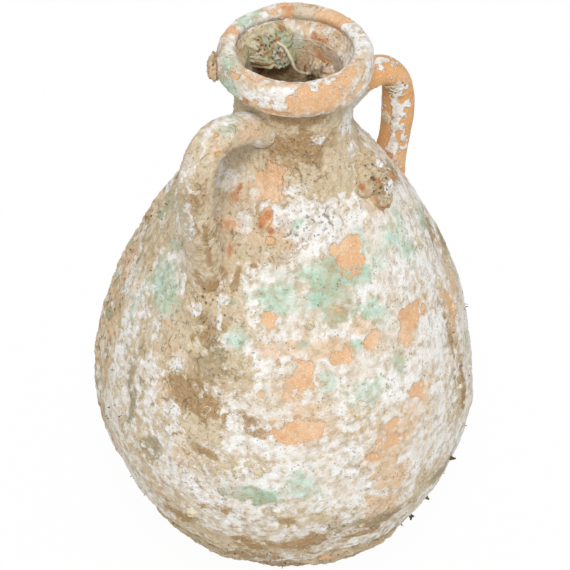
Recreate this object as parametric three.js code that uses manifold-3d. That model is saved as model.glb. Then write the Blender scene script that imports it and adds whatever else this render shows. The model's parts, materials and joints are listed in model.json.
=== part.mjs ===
// A two-handled transport amphora with an egg-shaped body, recovered from the sea with growth on it.
// Millimetres, +Z up. The origin is the centre of the flat spot that the vessel rests on.
// The handles lie near the X axis: the left one on the -X side and the right one on the +X side.

import * as THREE from 'three';
import { mergeVertices } from 'three/addons/utils/BufferGeometryUtils.js';
import Module from 'manifold-3d';

const wasm = await Module();
wasm.setup();

// Body
const BASE_RADIUS = 46;
const BELLY_RADIUS = 190;
const BELLY_HEIGHT = 200;
const BELLY_FULLNESS = 1.755;
const SHOULDER_RISE = 300;
const SHOULDER_BULGE = 115;
const SHOULDER_RUN = 90;
const SHOULDER_SLOPE = 0.75;

// Neck
const NECK_RADIUS = 57;
const NECK_RISE = 92;
const NECK_FLARE = 18;
const NECK_ROOT_RISE = 50;
const NECK_ROOT_BEND = 24;

// Rim collar
const RIM_OVERHANG = 18.5;
const RIM_WIDTH = 19.5;
const RIM_HEIGHT = 41;
const RIM_SEAT = 26;
const RIM_FLAT = 5;
const RIM_UNDERCUT = 6;
const LIP_ROUND = 6;
const LIP_DROP = 7;
const LIP_GROOVE = 1.8;

// Wall thicknesses
const BODY_WALL = 12;
const NECK_WALL = 10;
const FLOOR = 16;

// Joints between the thrown pieces: a bevelled butt with a film of slip
const SLIP = 0.3;
const BELLY_BEVEL = 7;
const NECK_BEVEL = 4;
const BASE_RING = 12;
const PLUG_DRAFT = 8;
const PLUG_CROWN = 3;

// Heights and radii that follow from the values above
const SHOULDER_RADIUS = NECK_RADIUS + NECK_FLARE;
const SHOULDER_HEIGHT = BELLY_HEIGHT + SHOULDER_RISE;
const NECK_TOP = SHOULDER_HEIGHT + NECK_RISE;
const NECK_BORE = NECK_RADIUS - NECK_WALL;
const HEIGHT = NECK_TOP + RIM_SEAT;
const RIM_RADIUS = NECK_RADIUS + RIM_OVERHANG;
const MOUTH_RADIUS = RIM_RADIUS - RIM_WIDTH;
const RIM_FLAT_INNER = MOUTH_RADIUS + LIP_ROUND;
const RIM_FLAT_OUTER = RIM_FLAT_INNER + RIM_FLAT;
const PLUG_RADIUS = BASE_RADIUS - BASE_RING;

// Handles: an oval coil of clay bent in an upright plane through the axis. The reach is from the neck,
// the arm and elbow are dropped from the neck's top, and the root from the shoulder's top.
const HANDLE_WIDTH = 35;
const HANDLE_DEPTH = 28;
const HANDLE_BURY = 6;
const ARM_SPREAD = 0.45;
const ROOT_DRAW = 11;
const ROOT_DEPTH = 14;
const HANDLES = [
  { name: 'handle_left', azimuth: 190, reach: 84, arm: 44, armRise: 30, crown: 37, elbow: 77, straight: 30, root: 95 },
  { name: 'handle_right', azimuth: -10, reach: 64, arm: 50, armRise: 22, crown: 30, elbow: 80, straight: 27, root: 70 },
];

const CLAY = 0xd9a06e;
const CRUSTED_CLAY = 0xd9cdbd;
const SEDIMENT = 0xb7a587;
const BROWN_CRUST = 0x8a6a4a;
const GREEN_GROWTH = 0x9fae8b;
const LIME = 0xe6dfd0;
const WEED = 0x5d4630;

// Sea growth on the outside: each patch is centred at an azimuth and a height, and reaches so far
// round, in degrees, and so far up and down the wall
const GROWTH_EDGE = 0.9;
const GROWTH_SINK = 4;
const GROWTH_FOOT = 16;
const GROWTH_LUMPS = 0.3;
const GROWTH_HEART = 0.04;
const EDGE_WAVE = 0.13;
const EDGE_RIPPLE = 0.07;
const PATCHES = [
  {
    name: 'growth_flank', azimuth: 122, height: BELLY_HEIGHT + 62, halfAngle: 38, halfRise: 205,
    thickness: 8, rings: 9, spokes: 26, lobes: 5, colour: SEDIMENT,
  },
  {
    name: 'growth_neck', azimuth: -126, height: SHOULDER_HEIGHT, halfAngle: 32, halfRise: 62,
    thickness: 4, rings: 5, spokes: 22, lobes: 4, colour: SEDIMENT,
  },
  {
    name: 'growth_root_right', azimuth: -60, height: SHOULDER_HEIGHT - 14, halfAngle: 20, halfRise: 31,
    thickness: 12, rings: 4, spokes: 16, lobes: 5, colour: BROWN_CRUST,
  },
  {
    name: 'growth_root_left', azimuth: 196, height: SHOULDER_HEIGHT - 108, halfAngle: 13, halfRise: 22,
    thickness: 5, rings: 3, spokes: 14, lobes: 4, colour: BROWN_CRUST,
  },
  {
    name: 'growth_base_left', azimuth: 188, height: BELLY_HEIGHT - 134, halfAngle: 28, halfRise: 42,
    thickness: 4, rings: 5, spokes: 20, lobes: 6, colour: BROWN_CRUST,
  },
  {
    name: 'growth_base_right', azimuth: -102, height: BELLY_HEIGHT - 126, halfAngle: 22, halfRise: 42,
    thickness: 4, rings: 5, spokes: 20, lobes: 5, colour: BROWN_CRUST,
  },
];

// Growth in the mouth, on the bore of the neck, and a lump of it on the rim: dropped from the rim's top
const SHELF = {
  azimuth: 82, halfAngle: 33, drop: 34, halfRise: 24, thickness: 17, rings: 5, spokes: 18, lobes: 4,
};
const BED = {
  azimuth: 13, halfAngle: 23, drop: 62, halfRise: 20, thickness: 9, rings: 4, spokes: 16, lobes: 3,
};
const RIM_GROWTH = { azimuth: 141, drop: 26, width: 26, depth: 17, rise: 30 };

// Worm tubes: each runs through points given as the distance in from the neck's bore, the azimuth,
// and the drop from the rim's top. Their ends are buried in the growth.
const WORM_TUBE_RADIUS = 1.7;
const WORM_TUBES = [
  { name: 'worm_tube_long', points: [[8, 76, 22], [16, 68, 24], [24, 57, 33], [25, 46, 44], [16, 34, 54], [4, 24, 60]] },
  { name: 'worm_tube_short', points: [[4, 20, 61], [12, 18, 54], [17, 15, 45], [16, 10, 36]] },
  { name: 'worm_tube_bent', points: [[4, 4, 62], [12, 6, 52], [15, 3, 43], [13, -6, 35]] },
];

// Barnacles: truncated cones with a sunk mouth, seated on the clay
const BARNACLE_TOP = 0.55;
const BARNACLE_MOUTH = 0.4;
const BARNACLES = [
  { name: 'barnacle_low', azimuth: 200, height: BELLY_HEIGHT - 40, radius: 5.5, rise: 4 },
  { name: 'barnacle_front', azimuth: 222, height: BELLY_HEIGHT + 40, radius: 4.5, rise: 3.5 },
  { name: 'barnacle_side', azimuth: -52, height: BELLY_HEIGHT + 130, radius: 4, rise: 3 },
  { name: 'barnacle_shoulder', azimuth: 238, height: BELLY_HEIGHT + 192, radius: 5, rise: 4 },
  { name: 'barnacle_back', azimuth: 48, height: BELLY_HEIGHT + 100, radius: 6, rise: 4.5 },
];

// Stubs of weed that stand out from the lower body, and a shell chip inside the right handle's bow
const WEED_RADIUS = 1.6;
const WEED_LENGTH = 11;
const WEED_STUBS = [
  { name: 'weed_stub_low', azimuth: -74, height: BELLY_HEIGHT - 106 },
  { name: 'weed_stub_mid', azimuth: -72, height: BELLY_HEIGHT - 78 },
  { name: 'weed_stub_high', azimuth: -63, height: BELLY_HEIGHT - 40 },
];
const SHELL_WIDTH = 16;
const SHELL_HEIGHT = 19;
const SHELL_THICKNESS = 3.2;
const SHELL_TAPER = 0.72;
const SHELL_PLACE = 0.2;

// Facets
const SEGMENTS = 48;
const OUTLINE_SAMPLES = 600;
const DEGREE = Math.PI / 180;

// The outer outline of the body and neck, as radius and height

// An egg-shaped arc: a superellipse quarter that is cut off where its radius is the base's
class EggArc extends THREE.Curve {
  constructor() {
    super();
    const cut = 1 - (BASE_RADIUS / BELLY_RADIUS) ** BELLY_FULLNESS;
    this.depth = BELLY_HEIGHT / cut ** (1 / BELLY_FULLNESS);
    this.start = Math.asin(Math.sqrt(cut));
  }
  getPoint(t, target = new THREE.Vector2()) {
    const turn = this.start * (1 - t);
    const power = 2 / BELLY_FULLNESS;
    return target.set(
      BELLY_RADIUS * Math.cos(turn) ** power,
      BELLY_HEIGHT - this.depth * Math.sin(turn) ** power,
    );
  }
}

const shoulderTop = new THREE.Vector2(SHOULDER_RADIUS, SHOULDER_HEIGHT);
const neckFoot = new THREE.Vector2(NECK_RADIUS, SHOULDER_HEIGHT + NECK_ROOT_RISE);
const outline = new THREE.CurvePath();
outline.add(new EggArc());
outline.add(new THREE.CubicBezierCurve(
  new THREE.Vector2(BELLY_RADIUS, BELLY_HEIGHT),
  new THREE.Vector2(BELLY_RADIUS, BELLY_HEIGHT + SHOULDER_BULGE),
  new THREE.Vector2(SHOULDER_RADIUS + SHOULDER_SLOPE * SHOULDER_RUN, SHOULDER_HEIGHT - SHOULDER_RUN),
  shoulderTop,
));
outline.add(new THREE.QuadraticBezierCurve(
  shoulderTop,
  new THREE.Vector2(NECK_RADIUS, SHOULDER_HEIGHT + NECK_ROOT_BEND),
  neckFoot,
));
outline.add(new THREE.LineCurve(neckFoot, new THREE.Vector2(NECK_RADIUS, NECK_TOP)));

const [BELLY_END, SHOULDER_END, , NECK_END] = outline.getCurveLengths();
const samples = outline.getSpacedPoints(OUTLINE_SAMPLES);

// The outline's point at a run, in millimetres along it from the base. Past its ends it goes straight on.
function outlineAt(run) {
  const step = NECK_END / OUTLINE_SAMPLES;
  const index = THREE.MathUtils.clamp(Math.floor(run / step), 0, OUTLINE_SAMPLES - 1);
  const [from, to] = [samples[index], samples[index + 1]];
  const tangent = to.clone().sub(from).normalize();
  const point = from.clone().addScaledVector(tangent, run - index * step);
  return { point, normal: new THREE.Vector2(tangent.y, -tangent.x) };
}

// A point at a distance outside the outline, or inside it where the distance is negative
function offsetPoint(run, distance) {
  const { point, normal } = outlineAt(run);
  return point.clone().addScaledVector(normal, distance);
}

// The wall thins evenly from the belly to the top of the shoulder
function wallAt(run) {
  const share = THREE.MathUtils.clamp((run - BELLY_END) / (SHOULDER_END - BELLY_END), 0, 1);
  return THREE.MathUtils.lerp(BODY_WALL, NECK_WALL, share);
}

function innerPoint(run) {
  return offsetPoint(run, -wallAt(run));
}

// The run at which a curve along the outline, such as its inner face, reaches a height
function runWhere(curve, height) {
  let [low, high] = [0, NECK_END];
  while (high - low > 1e-3) {
    const middle = (low + high) / 2;
    if (curve(middle).y < height) low = middle;
    else high = middle;
  }
  return low;
}

function runAt(height) {
  return runWhere((run) => outlineAt(run).point, height);
}

// Evenly spaced values from one end to the other
function spaced(from, to, steps) {
  return Array.from({ length: steps + 1 }, (_, i) => from + ((to - from) * i) / steps);
}

// Solids

// A solid of revolution about Z from a profile of radius and height that closes on itself or on the axis
function lathe(profile, segments = SEGMENTS) {
  const points = profile[0].x === 0 ? profile : [...profile, profile[0].clone()];
  return new THREE.LatheGeometry(points, segments).rotateX(Math.PI / 2);
}

function toSolid(geometry) {
  const bare = geometry.index ? geometry.toNonIndexed() : geometry.clone();
  bare.deleteAttribute('normal');
  bare.deleteAttribute('uv');
  const merged = mergeVertices(bare, 1e-4);
  return new wasm.Manifold(new wasm.Mesh({
    numProp: 3,
    vertProperties: merged.attributes.position.array,
    triVerts: new Uint32Array(merged.index.array),
  }));
}

function toGeometry(solid) {
  const mesh = solid.getMesh();
  const geometry = new THREE.BufferGeometry();
  geometry.setAttribute('position', new THREE.BufferAttribute(mesh.vertProperties, 3));
  geometry.setIndex(new THREE.BufferAttribute(mesh.triVerts, 1));
  geometry.computeVertexNormals();
  return geometry;
}

// The largest of the separate bodies that a cut leaves
function largest(solid) {
  return solid.decompose().sort((a, b) => b.volume() - a.volume())[0];
}

// A closed surface through rings of points, each end closed by a fan to its middle
function loft(rings) {
  const positions = rings.flat().flatMap((p) => p.toArray());
  const count = rings[0].length;
  const middleOf = (ring) => ring
    .reduce((sum, p) => sum.add(p), new THREE.Vector3())
    .divideScalar(count);
  positions.push(...middleOf(rings[0]).toArray(), ...middleOf(rings.at(-1)).toArray());
  const [startMiddle, endMiddle] = [rings.length * count, rings.length * count + 1];
  const lastRing = (rings.length - 1) * count;
  const index = [];
  for (let j = 0; j < count; j += 1) {
    const next = (j + 1) % count;
    for (let i = 0; i + 1 < rings.length; i += 1) {
      const [a, b] = [i * count + j, i * count + next];
      index.push(a, b, b + count, a, b + count, a + count);
    }
    index.push(startMiddle, next, j, endMiddle, lastRing + j, lastRing + next);
  }
  const geometry = new THREE.BufferGeometry();
  geometry.setAttribute('position', new THREE.BufferAttribute(new Float32Array(positions), 3));
  geometry.setIndex(index);
  return geometry;
}

// Clay pieces

// The rim collar's outside, from the flat top over the bulge to the foot on the neck, grown by a gap
function rimSection(gap = 0) {
  const waist = new THREE.Vector2(RIM_RADIUS + gap, HEIGHT - RIM_HEIGHT / 2);
  const over = new THREE.QuadraticBezierCurve(
    new THREE.Vector2(RIM_FLAT_OUTER, HEIGHT + gap),
    new THREE.Vector2(RIM_RADIUS + gap, HEIGHT + gap),
    waist,
  );
  const under = new THREE.CubicBezierCurve(
    waist,
    new THREE.Vector2(RIM_RADIUS + gap, HEIGHT - RIM_HEIGHT * 0.78 - gap),
    new THREE.Vector2(NECK_RADIUS + RIM_UNDERCUT, HEIGHT - RIM_HEIGHT * 0.9 - gap),
    new THREE.Vector2(NECK_RADIUS + SLIP, HEIGHT - RIM_HEIGHT - gap),
  );
  return [...over.getPoints(5), ...under.getPoints(6).slice(1)];
}

// The mouth's inside, from the lip's edge down over a shallow groove to a ledge
function mouthSection() {
  return [
    new THREE.Vector2(MOUTH_RADIUS + 1.6, HEIGHT - 2.5),
    new THREE.Vector2(MOUTH_RADIUS, HEIGHT - LIP_DROP),
    new THREE.Vector2(MOUTH_RADIUS + LIP_GROOVE, HEIGHT - LIP_DROP - 3.5),
    new THREE.Vector2(MOUTH_RADIUS - 2, HEIGHT - LIP_DROP - 9),
  ];
}

function rimCollarProfile() {
  return [
    new THREE.Vector2(NECK_BORE, NECK_TOP + SLIP),
    new THREE.Vector2(NECK_RADIUS + SLIP, NECK_TOP + SLIP),
    ...rimSection().reverse(),
    new THREE.Vector2(RIM_FLAT_INNER, HEIGHT),
    ...mouthSection(),
  ];
}

// One thrown ring of wall between two runs, with bevelled edges where it meets its neighbours
function wallRing(from, to, bevelFrom, bevelTo, steps) {
  const outer = spaced(from + SLIP / 2, to, steps).map((run) => offsetPoint(run, 0));
  const inner = spaced(from + bevelFrom + SLIP / 2, to + bevelTo, steps).map(innerPoint);
  return [...outer, ...inner.reverse()];
}

function lowerBodyProfile() {
  const outer = spaced(0, BELLY_END - SLIP / 2, 14).map((run) => offsetPoint(run, 0));
  const floorRun = runWhere(innerPoint, FLOOR);
  const inner = spaced(floorRun, BELLY_END + BELLY_BEVEL - SLIP / 2, 12).map(innerPoint);
  return [
    new THREE.Vector2(PLUG_RADIUS + SLIP, 0),
    ...outer,
    ...inner.reverse(),
    new THREE.Vector2(PLUG_RADIUS + PLUG_DRAFT + SLIP, inner.at(-1).y),
  ];
}

function upperBodyProfile() {
  return wallRing(BELLY_END, SHOULDER_END - SLIP / 2, BELLY_BEVEL, NECK_BEVEL, 14);
}

function neckProfile() {
  return wallRing(SHOULDER_END, NECK_END, NECK_BEVEL, 0, 9);
}

function basePlugProfile() {
  return [
    new THREE.Vector2(0, 0),
    new THREE.Vector2(PLUG_RADIUS, 0),
    new THREE.Vector2(PLUG_RADIUS + PLUG_DRAFT, FLOOR),
    new THREE.Vector2(PLUG_RADIUS * 0.8, FLOOR + PLUG_CROWN - 1),
    new THREE.Vector2(0, FLOOR + PLUG_CROWN),
  ];
}

// The whole vessel without its hollow, grown by the slip: what sits on it is cut back with this
function makeSeatCutter() {
  const side = spaced(0, runAt(HEIGHT - RIM_HEIGHT) - 1, 40).map((run) => offsetPoint(run, SLIP));
  return toSolid(lathe([
    new THREE.Vector2(0, -SLIP),
    new THREE.Vector2(side[0].x, -SLIP),
    ...side,
    ...rimSection(SLIP).reverse(),
    new THREE.Vector2(0, HEIGHT + SLIP),
  ]));
}

// The hollow of the neck and the shoulder's top, shrunk by the slip: what grows in it is kept within this
function makeNeckHollow() {
  const side = spaced(runAt(BELLY_HEIGHT + SHOULDER_RISE * 0.8), NECK_END, 14)
    .map((run) => offsetPoint(run, -wallAt(run) - SLIP));
  const mouth = mouthSection().slice(1).reverse().map((p) => new THREE.Vector2(p.x - SLIP, p.y));
  return toSolid(lathe([
    new THREE.Vector2(0, side[0].y),
    ...side,
    ...mouth,
    new THREE.Vector2(0, mouth.at(-1).y),
  ]));
}

const seatCutter = makeSeatCutter();
const neckHollow = makeNeckHollow();

// A solid in a frame turned by an azimuth, cut back to stand on the vessel's outside
function seatOutside(solid, azimuth) {
  return solid.subtract(seatCutter.rotate([0, 0, -azimuth]));
}

// A handle's centre line, in its own plane, from inside the neck's wall to inside the shoulder's wall
function handleCurve(handle) {
  const reach = NECK_RADIUS + handle.reach;
  const arm = NECK_TOP - handle.arm;
  const root = SHOULDER_HEIGHT - handle.root;
  const elbow = new THREE.Vector3(reach, 0, NECK_TOP - handle.elbow);
  const rootRadius = outlineAt(runAt(root)).point.x;
  const path = new THREE.CurvePath();
  path.add(new THREE.CubicBezierCurve3(
    new THREE.Vector3(NECK_RADIUS - HANDLE_BURY, 0, arm),
    new THREE.Vector3(NECK_RADIUS + handle.reach * ARM_SPREAD, 0, arm + handle.armRise),
    new THREE.Vector3(reach, 0, arm + handle.crown),
    elbow,
  ));
  path.add(new THREE.CubicBezierCurve3(
    elbow,
    new THREE.Vector3(reach, 0, elbow.z - handle.straight),
    new THREE.Vector3(reach - ROOT_DRAW, 0, (elbow.z + root) / 2 - HANDLE_BURY),
    new THREE.Vector3(rootRadius - ROOT_DEPTH, 0, root - HANDLE_BURY),
  ));
  return path;
}

function handleTube(handle, gap = 0) {
  const section = new THREE.Shape();
  section.absellipse(0, 0, HANDLE_WIDTH / 2 + gap, HANDLE_DEPTH / 2 + gap, 0, Math.PI * 2);
  return toSolid(new THREE.ExtrudeGeometry(section, {
    extrudePath: handleCurve(handle),
    steps: 26,
    curveSegments: 8,
    bevelEnabled: false,
  }));
}

// Sea growth

// How lumpy the growth is at a point: a fixed sum of waves between -1 and 1
function lump(across, along, lobes) {
  return 0.5 * Math.sin(lobes * across + 1.3 * along) + 0.3 * Math.sin(2.3 * lobes * along - across)
    + 0.2 * Math.cos(3.1 * across + 4.7 * along);
}

// A patch as a skin over a curved wall, thinning to a wavy edge. place(angle, rise, distance) gives the
// wall's points, and the skin is grown by a gap.
function patchSkin(patch, place, gap = 0) {
  const { rings, spokes, lobes } = patch;
  const layer = (distanceAt) => spaced(GROWTH_HEART, 1, rings).map((share) => (
    Array.from({ length: spokes }, (_, j) => {
      const turn = (j / spokes) * 2 * Math.PI;
      const edge = 1 + EDGE_WAVE * Math.sin(lobes * turn + lobes) + EDGE_RIPPLE * Math.cos((lobes + 3) * turn);
      const across = share * edge * Math.cos(turn);
      const along = share * edge * Math.sin(turn);
      return place(across * patch.halfAngle, along * patch.halfRise, distanceAt(share, across, along));
    })
  ));
  const top = layer((share, across, along) => {
    const swell = Math.sqrt(1 - share ** 3) * (1 + GROWTH_LUMPS * lump(3 * across, 3 * along, lobes));
    return GROWTH_EDGE + gap + (patch.thickness * swell) / (1 + GROWTH_LUMPS);
  });
  const bottom = layer(() => -GROWTH_SINK);
  return loft([...bottom, ...top.reverse()]);
}

// A point on a ring about Z
function around(radius, degrees, height) {
  return new THREE.Vector3(radius * Math.cos(degrees * DEGREE), radius * Math.sin(degrees * DEGREE), height);
}

// Every handle grown by the slip and turned to its place
const handleCutters = HANDLES.map((handle) => handleTube(handle, SLIP).rotate([0, 0, handle.azimuth]));

function outsidePatch(patch) {
  const middle = runAt(patch.height);
  const skin = patchSkin(patch, (angle, rise, distance) => {
    const p = offsetPoint(Math.max(middle + rise, GROWTH_FOOT), distance);
    return around(p.x, angle, p.y);
  });
  return handleCutters.reduce(
    (left, cutter) => left.subtract(cutter.rotate([0, 0, -patch.azimuth])),
    seatOutside(toSolid(skin), patch.azimuth),
  );
}

// Growth on the bore of the neck
function insidePatch(patch, gap = 0) {
  const skin = patchSkin(patch, (angle, rise, distance) => (
    around(NECK_BORE - distance, angle, HEIGHT - patch.drop - rise)
  ), gap);
  return toSolid(skin).intersect(neckHollow.rotate([0, 0, -patch.azimuth]));
}

// A lump of oyster on the rim's outside
function rimGrowth() {
  const { drop, width, depth, rise } = RIM_GROWTH;
  const ball = new THREE.IcosahedronGeometry(1, 2);
  const position = ball.attributes.position;
  for (let i = 0; i < position.count; i += 1) {
    const p = new THREE.Vector3().fromBufferAttribute(position, i);
    p.multiplyScalar(1 + 0.12 * lump(3 * p.x + p.z, 3 * p.y - p.z, 3));
    position.setXYZ(i, (p.x * depth) / 2, (p.y * width) / 2, (p.z * rise) / 2);
  }
  ball.translate(RIM_RADIUS, 0, HEIGHT - drop);
  return seatOutside(toSolid(ball), RIM_GROWTH.azimuth);
}

// What the worm tubes stand in: both growths in the mouth, grown by the slip and turned to their places
const mouthCutters = [SHELF, BED].map((patch) => insidePatch(patch, SLIP).rotate([0, 0, patch.azimuth]));

function wormTube(tube) {
  const points = tube.points.map(([inset, azimuth, drop]) => around(NECK_BORE - inset, azimuth, HEIGHT - drop));
  const whole = toSolid(new THREE.ExtrudeGeometry(new THREE.Shape().absarc(0, 0, WORM_TUBE_RADIUS, 0, Math.PI * 2), {
    extrudePath: new THREE.CatmullRomCurve3(points),
    steps: 16,
    curveSegments: 4,
    bevelEnabled: false,
  })).intersect(neckHollow);
  return largest(mouthCutters.reduce((left, cutter) => left.subtract(cutter), whole));
}

// A small piece built upright about Z, laid so that it stands out from the wall at a height
function standOnWall(geometry, height) {
  const { point, normal } = outlineAt(runAt(height));
  return geometry.rotateY(Math.atan2(normal.x, normal.y)).translate(point.x, 0, point.y);
}

function barnacle({ azimuth, height, radius, rise }) {
  const cone = lathe([
    new THREE.Vector2(0, -GROWTH_SINK),
    new THREE.Vector2(radius, -GROWTH_SINK),
    new THREE.Vector2(radius, 0),
    new THREE.Vector2(radius * BARNACLE_TOP, rise),
    new THREE.Vector2(radius * BARNACLE_MOUTH, rise),
    new THREE.Vector2(0, rise * BARNACLE_TOP),
  ], 12);
  return seatOutside(toSolid(standOnWall(cone, height)), azimuth);
}

function weedStub({ azimuth, height }) {
  const bend = new THREE.CatmullRomCurve3([
    new THREE.Vector3(0, 0, -GROWTH_SINK),
    new THREE.Vector3(0.6, 0.4, WEED_LENGTH * 0.35),
    new THREE.Vector3(-0.8, 0, WEED_LENGTH * 0.7),
    new THREE.Vector3(-2.4, 0.6, WEED_LENGTH),
  ]);
  const rings = bend.getPoints(5).map((centre, i) => (
    Array.from({ length: 6 }, (_, j) => centre.clone().add(around(WEED_RADIUS * (1 - 0.09 * i), j * 60, 0)))
  ));
  return seatOutside(toSolid(standOnWall(loft(rings), height)), azimuth);
}

// A chip of shell on the neck side of a handle's upright run
function shellChip(handle) {
  const centre = handleCurve(handle).curves[1].getPoint(SHELL_PLACE);
  const half = SHELL_WIDTH / 2;
  const disc = new THREE.CylinderGeometry(SHELL_TAPER * half, half, SHELL_THICKNESS + GROWTH_SINK, 12);
  disc.rotateZ(Math.PI / 2).scale(1, 1, SHELL_HEIGHT / SHELL_WIDTH);
  disc.translate(centre.x - HANDLE_DEPTH / 2 + (GROWTH_SINK - SHELL_THICKNESS) / 2, 0, centre.z);
  return toSolid(disc).subtract(handleTube(handle, SLIP));
}

// Materials and assembly

function matt(colour) {
  return new THREE.MeshStandardMaterial({ color: colour, roughness: 0.95, metalness: 0 });
}

const amphora = new THREE.Group();

function add(name, geometry, colour, azimuth = 0) {
  const mesh = new THREE.Mesh(geometry, matt(colour));
  mesh.name = name;
  mesh.rotation.z = azimuth * DEGREE;
  amphora.add(mesh);
}

add('base_plug', lathe(basePlugProfile()), CRUSTED_CLAY);
add('lower_body', lathe(lowerBodyProfile()), CRUSTED_CLAY);
add('upper_body', lathe(upperBodyProfile()), CRUSTED_CLAY);
add('neck', lathe(neckProfile()), CRUSTED_CLAY);
add('rim_collar', lathe(rimCollarProfile()), CRUSTED_CLAY);

for (const handle of HANDLES) {
  const seated = largest(seatOutside(handleTube(handle), handle.azimuth));
  add(handle.name, toGeometry(seated), CLAY, handle.azimuth);
}

for (const patch of PATCHES) {
  add(patch.name, toGeometry(outsidePatch(patch)), patch.colour, patch.azimuth);
}
add('growth_mouth_shelf', toGeometry(insidePatch(SHELF)), GREEN_GROWTH, SHELF.azimuth);
add('growth_mouth_bed', toGeometry(insidePatch(BED)), SEDIMENT, BED.azimuth);
add('growth_rim', toGeometry(rimGrowth()), SEDIMENT, RIM_GROWTH.azimuth);

for (const tube of WORM_TUBES) add(tube.name, toGeometry(wormTube(tube)), LIME);
for (const one of BARNACLES) add(one.name, toGeometry(barnacle(one)), LIME, one.azimuth);
for (const stub of WEED_STUBS) add(stub.name, toGeometry(weedStub(stub)), WEED, stub.azimuth);
add('shell_chip', toGeometry(shellChip(HANDLES[1])), LIME, HANDLES[1].azimuth);

export default amphora;
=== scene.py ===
"""Looks of a two-handled transport amphora from the sea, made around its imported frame.

Shapes are worked out in millimetres in the frame's own axes, with Z along the vessel's axis, and written
to their meshes in metres. Azimuths are in degrees about Z from +X, and the camera looks from azimuth 230.
"""

import json
import math
from itertools import product

import bpy
import numpy as np
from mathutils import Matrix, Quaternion, Vector

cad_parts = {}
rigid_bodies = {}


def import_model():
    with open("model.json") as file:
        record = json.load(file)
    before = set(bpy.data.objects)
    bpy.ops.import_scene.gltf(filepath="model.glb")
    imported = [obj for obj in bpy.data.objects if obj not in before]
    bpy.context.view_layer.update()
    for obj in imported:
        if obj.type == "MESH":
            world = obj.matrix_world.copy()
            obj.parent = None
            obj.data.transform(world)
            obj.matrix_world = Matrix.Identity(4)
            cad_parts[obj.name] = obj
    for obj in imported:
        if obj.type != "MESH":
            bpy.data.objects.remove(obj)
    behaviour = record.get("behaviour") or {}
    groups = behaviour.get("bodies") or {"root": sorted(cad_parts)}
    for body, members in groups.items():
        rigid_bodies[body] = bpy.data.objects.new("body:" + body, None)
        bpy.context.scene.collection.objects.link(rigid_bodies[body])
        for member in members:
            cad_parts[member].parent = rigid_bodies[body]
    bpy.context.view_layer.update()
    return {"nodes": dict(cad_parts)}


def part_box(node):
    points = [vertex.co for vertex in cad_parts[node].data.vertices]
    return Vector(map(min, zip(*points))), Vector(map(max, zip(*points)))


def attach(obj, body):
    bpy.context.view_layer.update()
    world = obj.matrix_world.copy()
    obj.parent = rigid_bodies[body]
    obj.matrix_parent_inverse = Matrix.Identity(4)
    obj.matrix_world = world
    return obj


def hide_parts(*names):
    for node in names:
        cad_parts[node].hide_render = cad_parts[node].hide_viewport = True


bl_info = {
    "name": "Sea-crusted transport amphora",
    "version": (1, 0, 0),
    "blender": (4, 5, 0),
    "location": "3D View > Sidebar > Amphora",
    "description": "Builds the looks of a crusted clay transport amphora around its packed frame",
    "category": "Add Mesh",
}

for leftover in list(bpy.data.objects):
    bpy.data.objects.remove(leftover)
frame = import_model()

MM = 1000.0
DEGREE = math.pi / 180


def extent(node):
    """The lowest and the highest corner of a CAD node, in millimetres."""
    return [np.array(corner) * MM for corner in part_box(node)]


# Sizes of the frame, in millimetres. What no box of a node gives repeats the part's own value.
SLIP = 0.3
BELLY_RADIUS = extent("upper_body")[1][0]
BELLY_HEIGHT = extent("upper_body")[0][2] - SLIP / 2
NECK_TOP = extent("neck")[1][2]
HEIGHT = extent("rim_collar")[1][2]
RIM_RADIUS = extent("rim_collar")[1][0]
RIM_FOOT = extent("rim_collar")[0][2]
BASE_RADIUS = 46
BELLY_FULLNESS = 1.755
SHOULDER_HEIGHT = BELLY_HEIGHT + 300
SHOULDER_RADIUS = 75
SHOULDER_BULGE = 115
SHOULDER_RUN = 90
SHOULDER_SLOPE = 0.75
NECK_RADIUS = 57
NECK_BORE = 47
NECK_FOOT = SHOULDER_HEIGHT + 50
NECK_BEND = SHOULDER_HEIGHT + 24
BODY_WALL = 12
NECK_WALL = 10
FLOOR = 16
BELLY_BEVEL = 7
NECK_BEVEL = 4
PLUG_SEAT = 34.3
PLUG_SEAT_TOP = 42.3


# Curves and the vessel's outline


def bezier(controls, count):
    """Points on a Bezier curve: its control points are blended in pairs, p(1-t) + qt, until one is left."""
    share = np.linspace(0, 1, count)[:, None]
    level = [np.array(point, float) + 0 * share for point in controls]
    while len(level) > 1:
        level = [a * (1 - share) + b * share for a, b in zip(level, level[1:])]
    return level[0]


def smooth_line(points, count):
    """Points on a Catmull-Rom curve, each span a cubic whose slopes are half the chord of its neighbours."""
    points = np.array(points, float)
    padded = np.concatenate([[2 * points[0] - points[1]], points, [2 * points[-1] - points[-2]]])
    place = np.linspace(0, len(points) - 1, count)
    span = np.minimum(place.astype(int), len(points) - 2)
    t = (place - span)[:, None]
    a, b, c, d = (padded[span + k] for k in range(4))
    return 0.5 * (2 * b + (c - a) * t + (2 * a - 5 * b + 4 * c - d) * t**2 + (3 * b - a - 3 * c + d) * t**3)


def evenly(points, count):
    """The same line as points, with a count of places at even distances along it."""
    runs = np.concatenate([[0], np.cumsum(np.linalg.norm(np.diff(points, axis=0), axis=1))])
    wanted = np.linspace(0, runs[-1], count)
    return np.stack([np.interp(wanted, runs, column) for column in points.T], -1)


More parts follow.
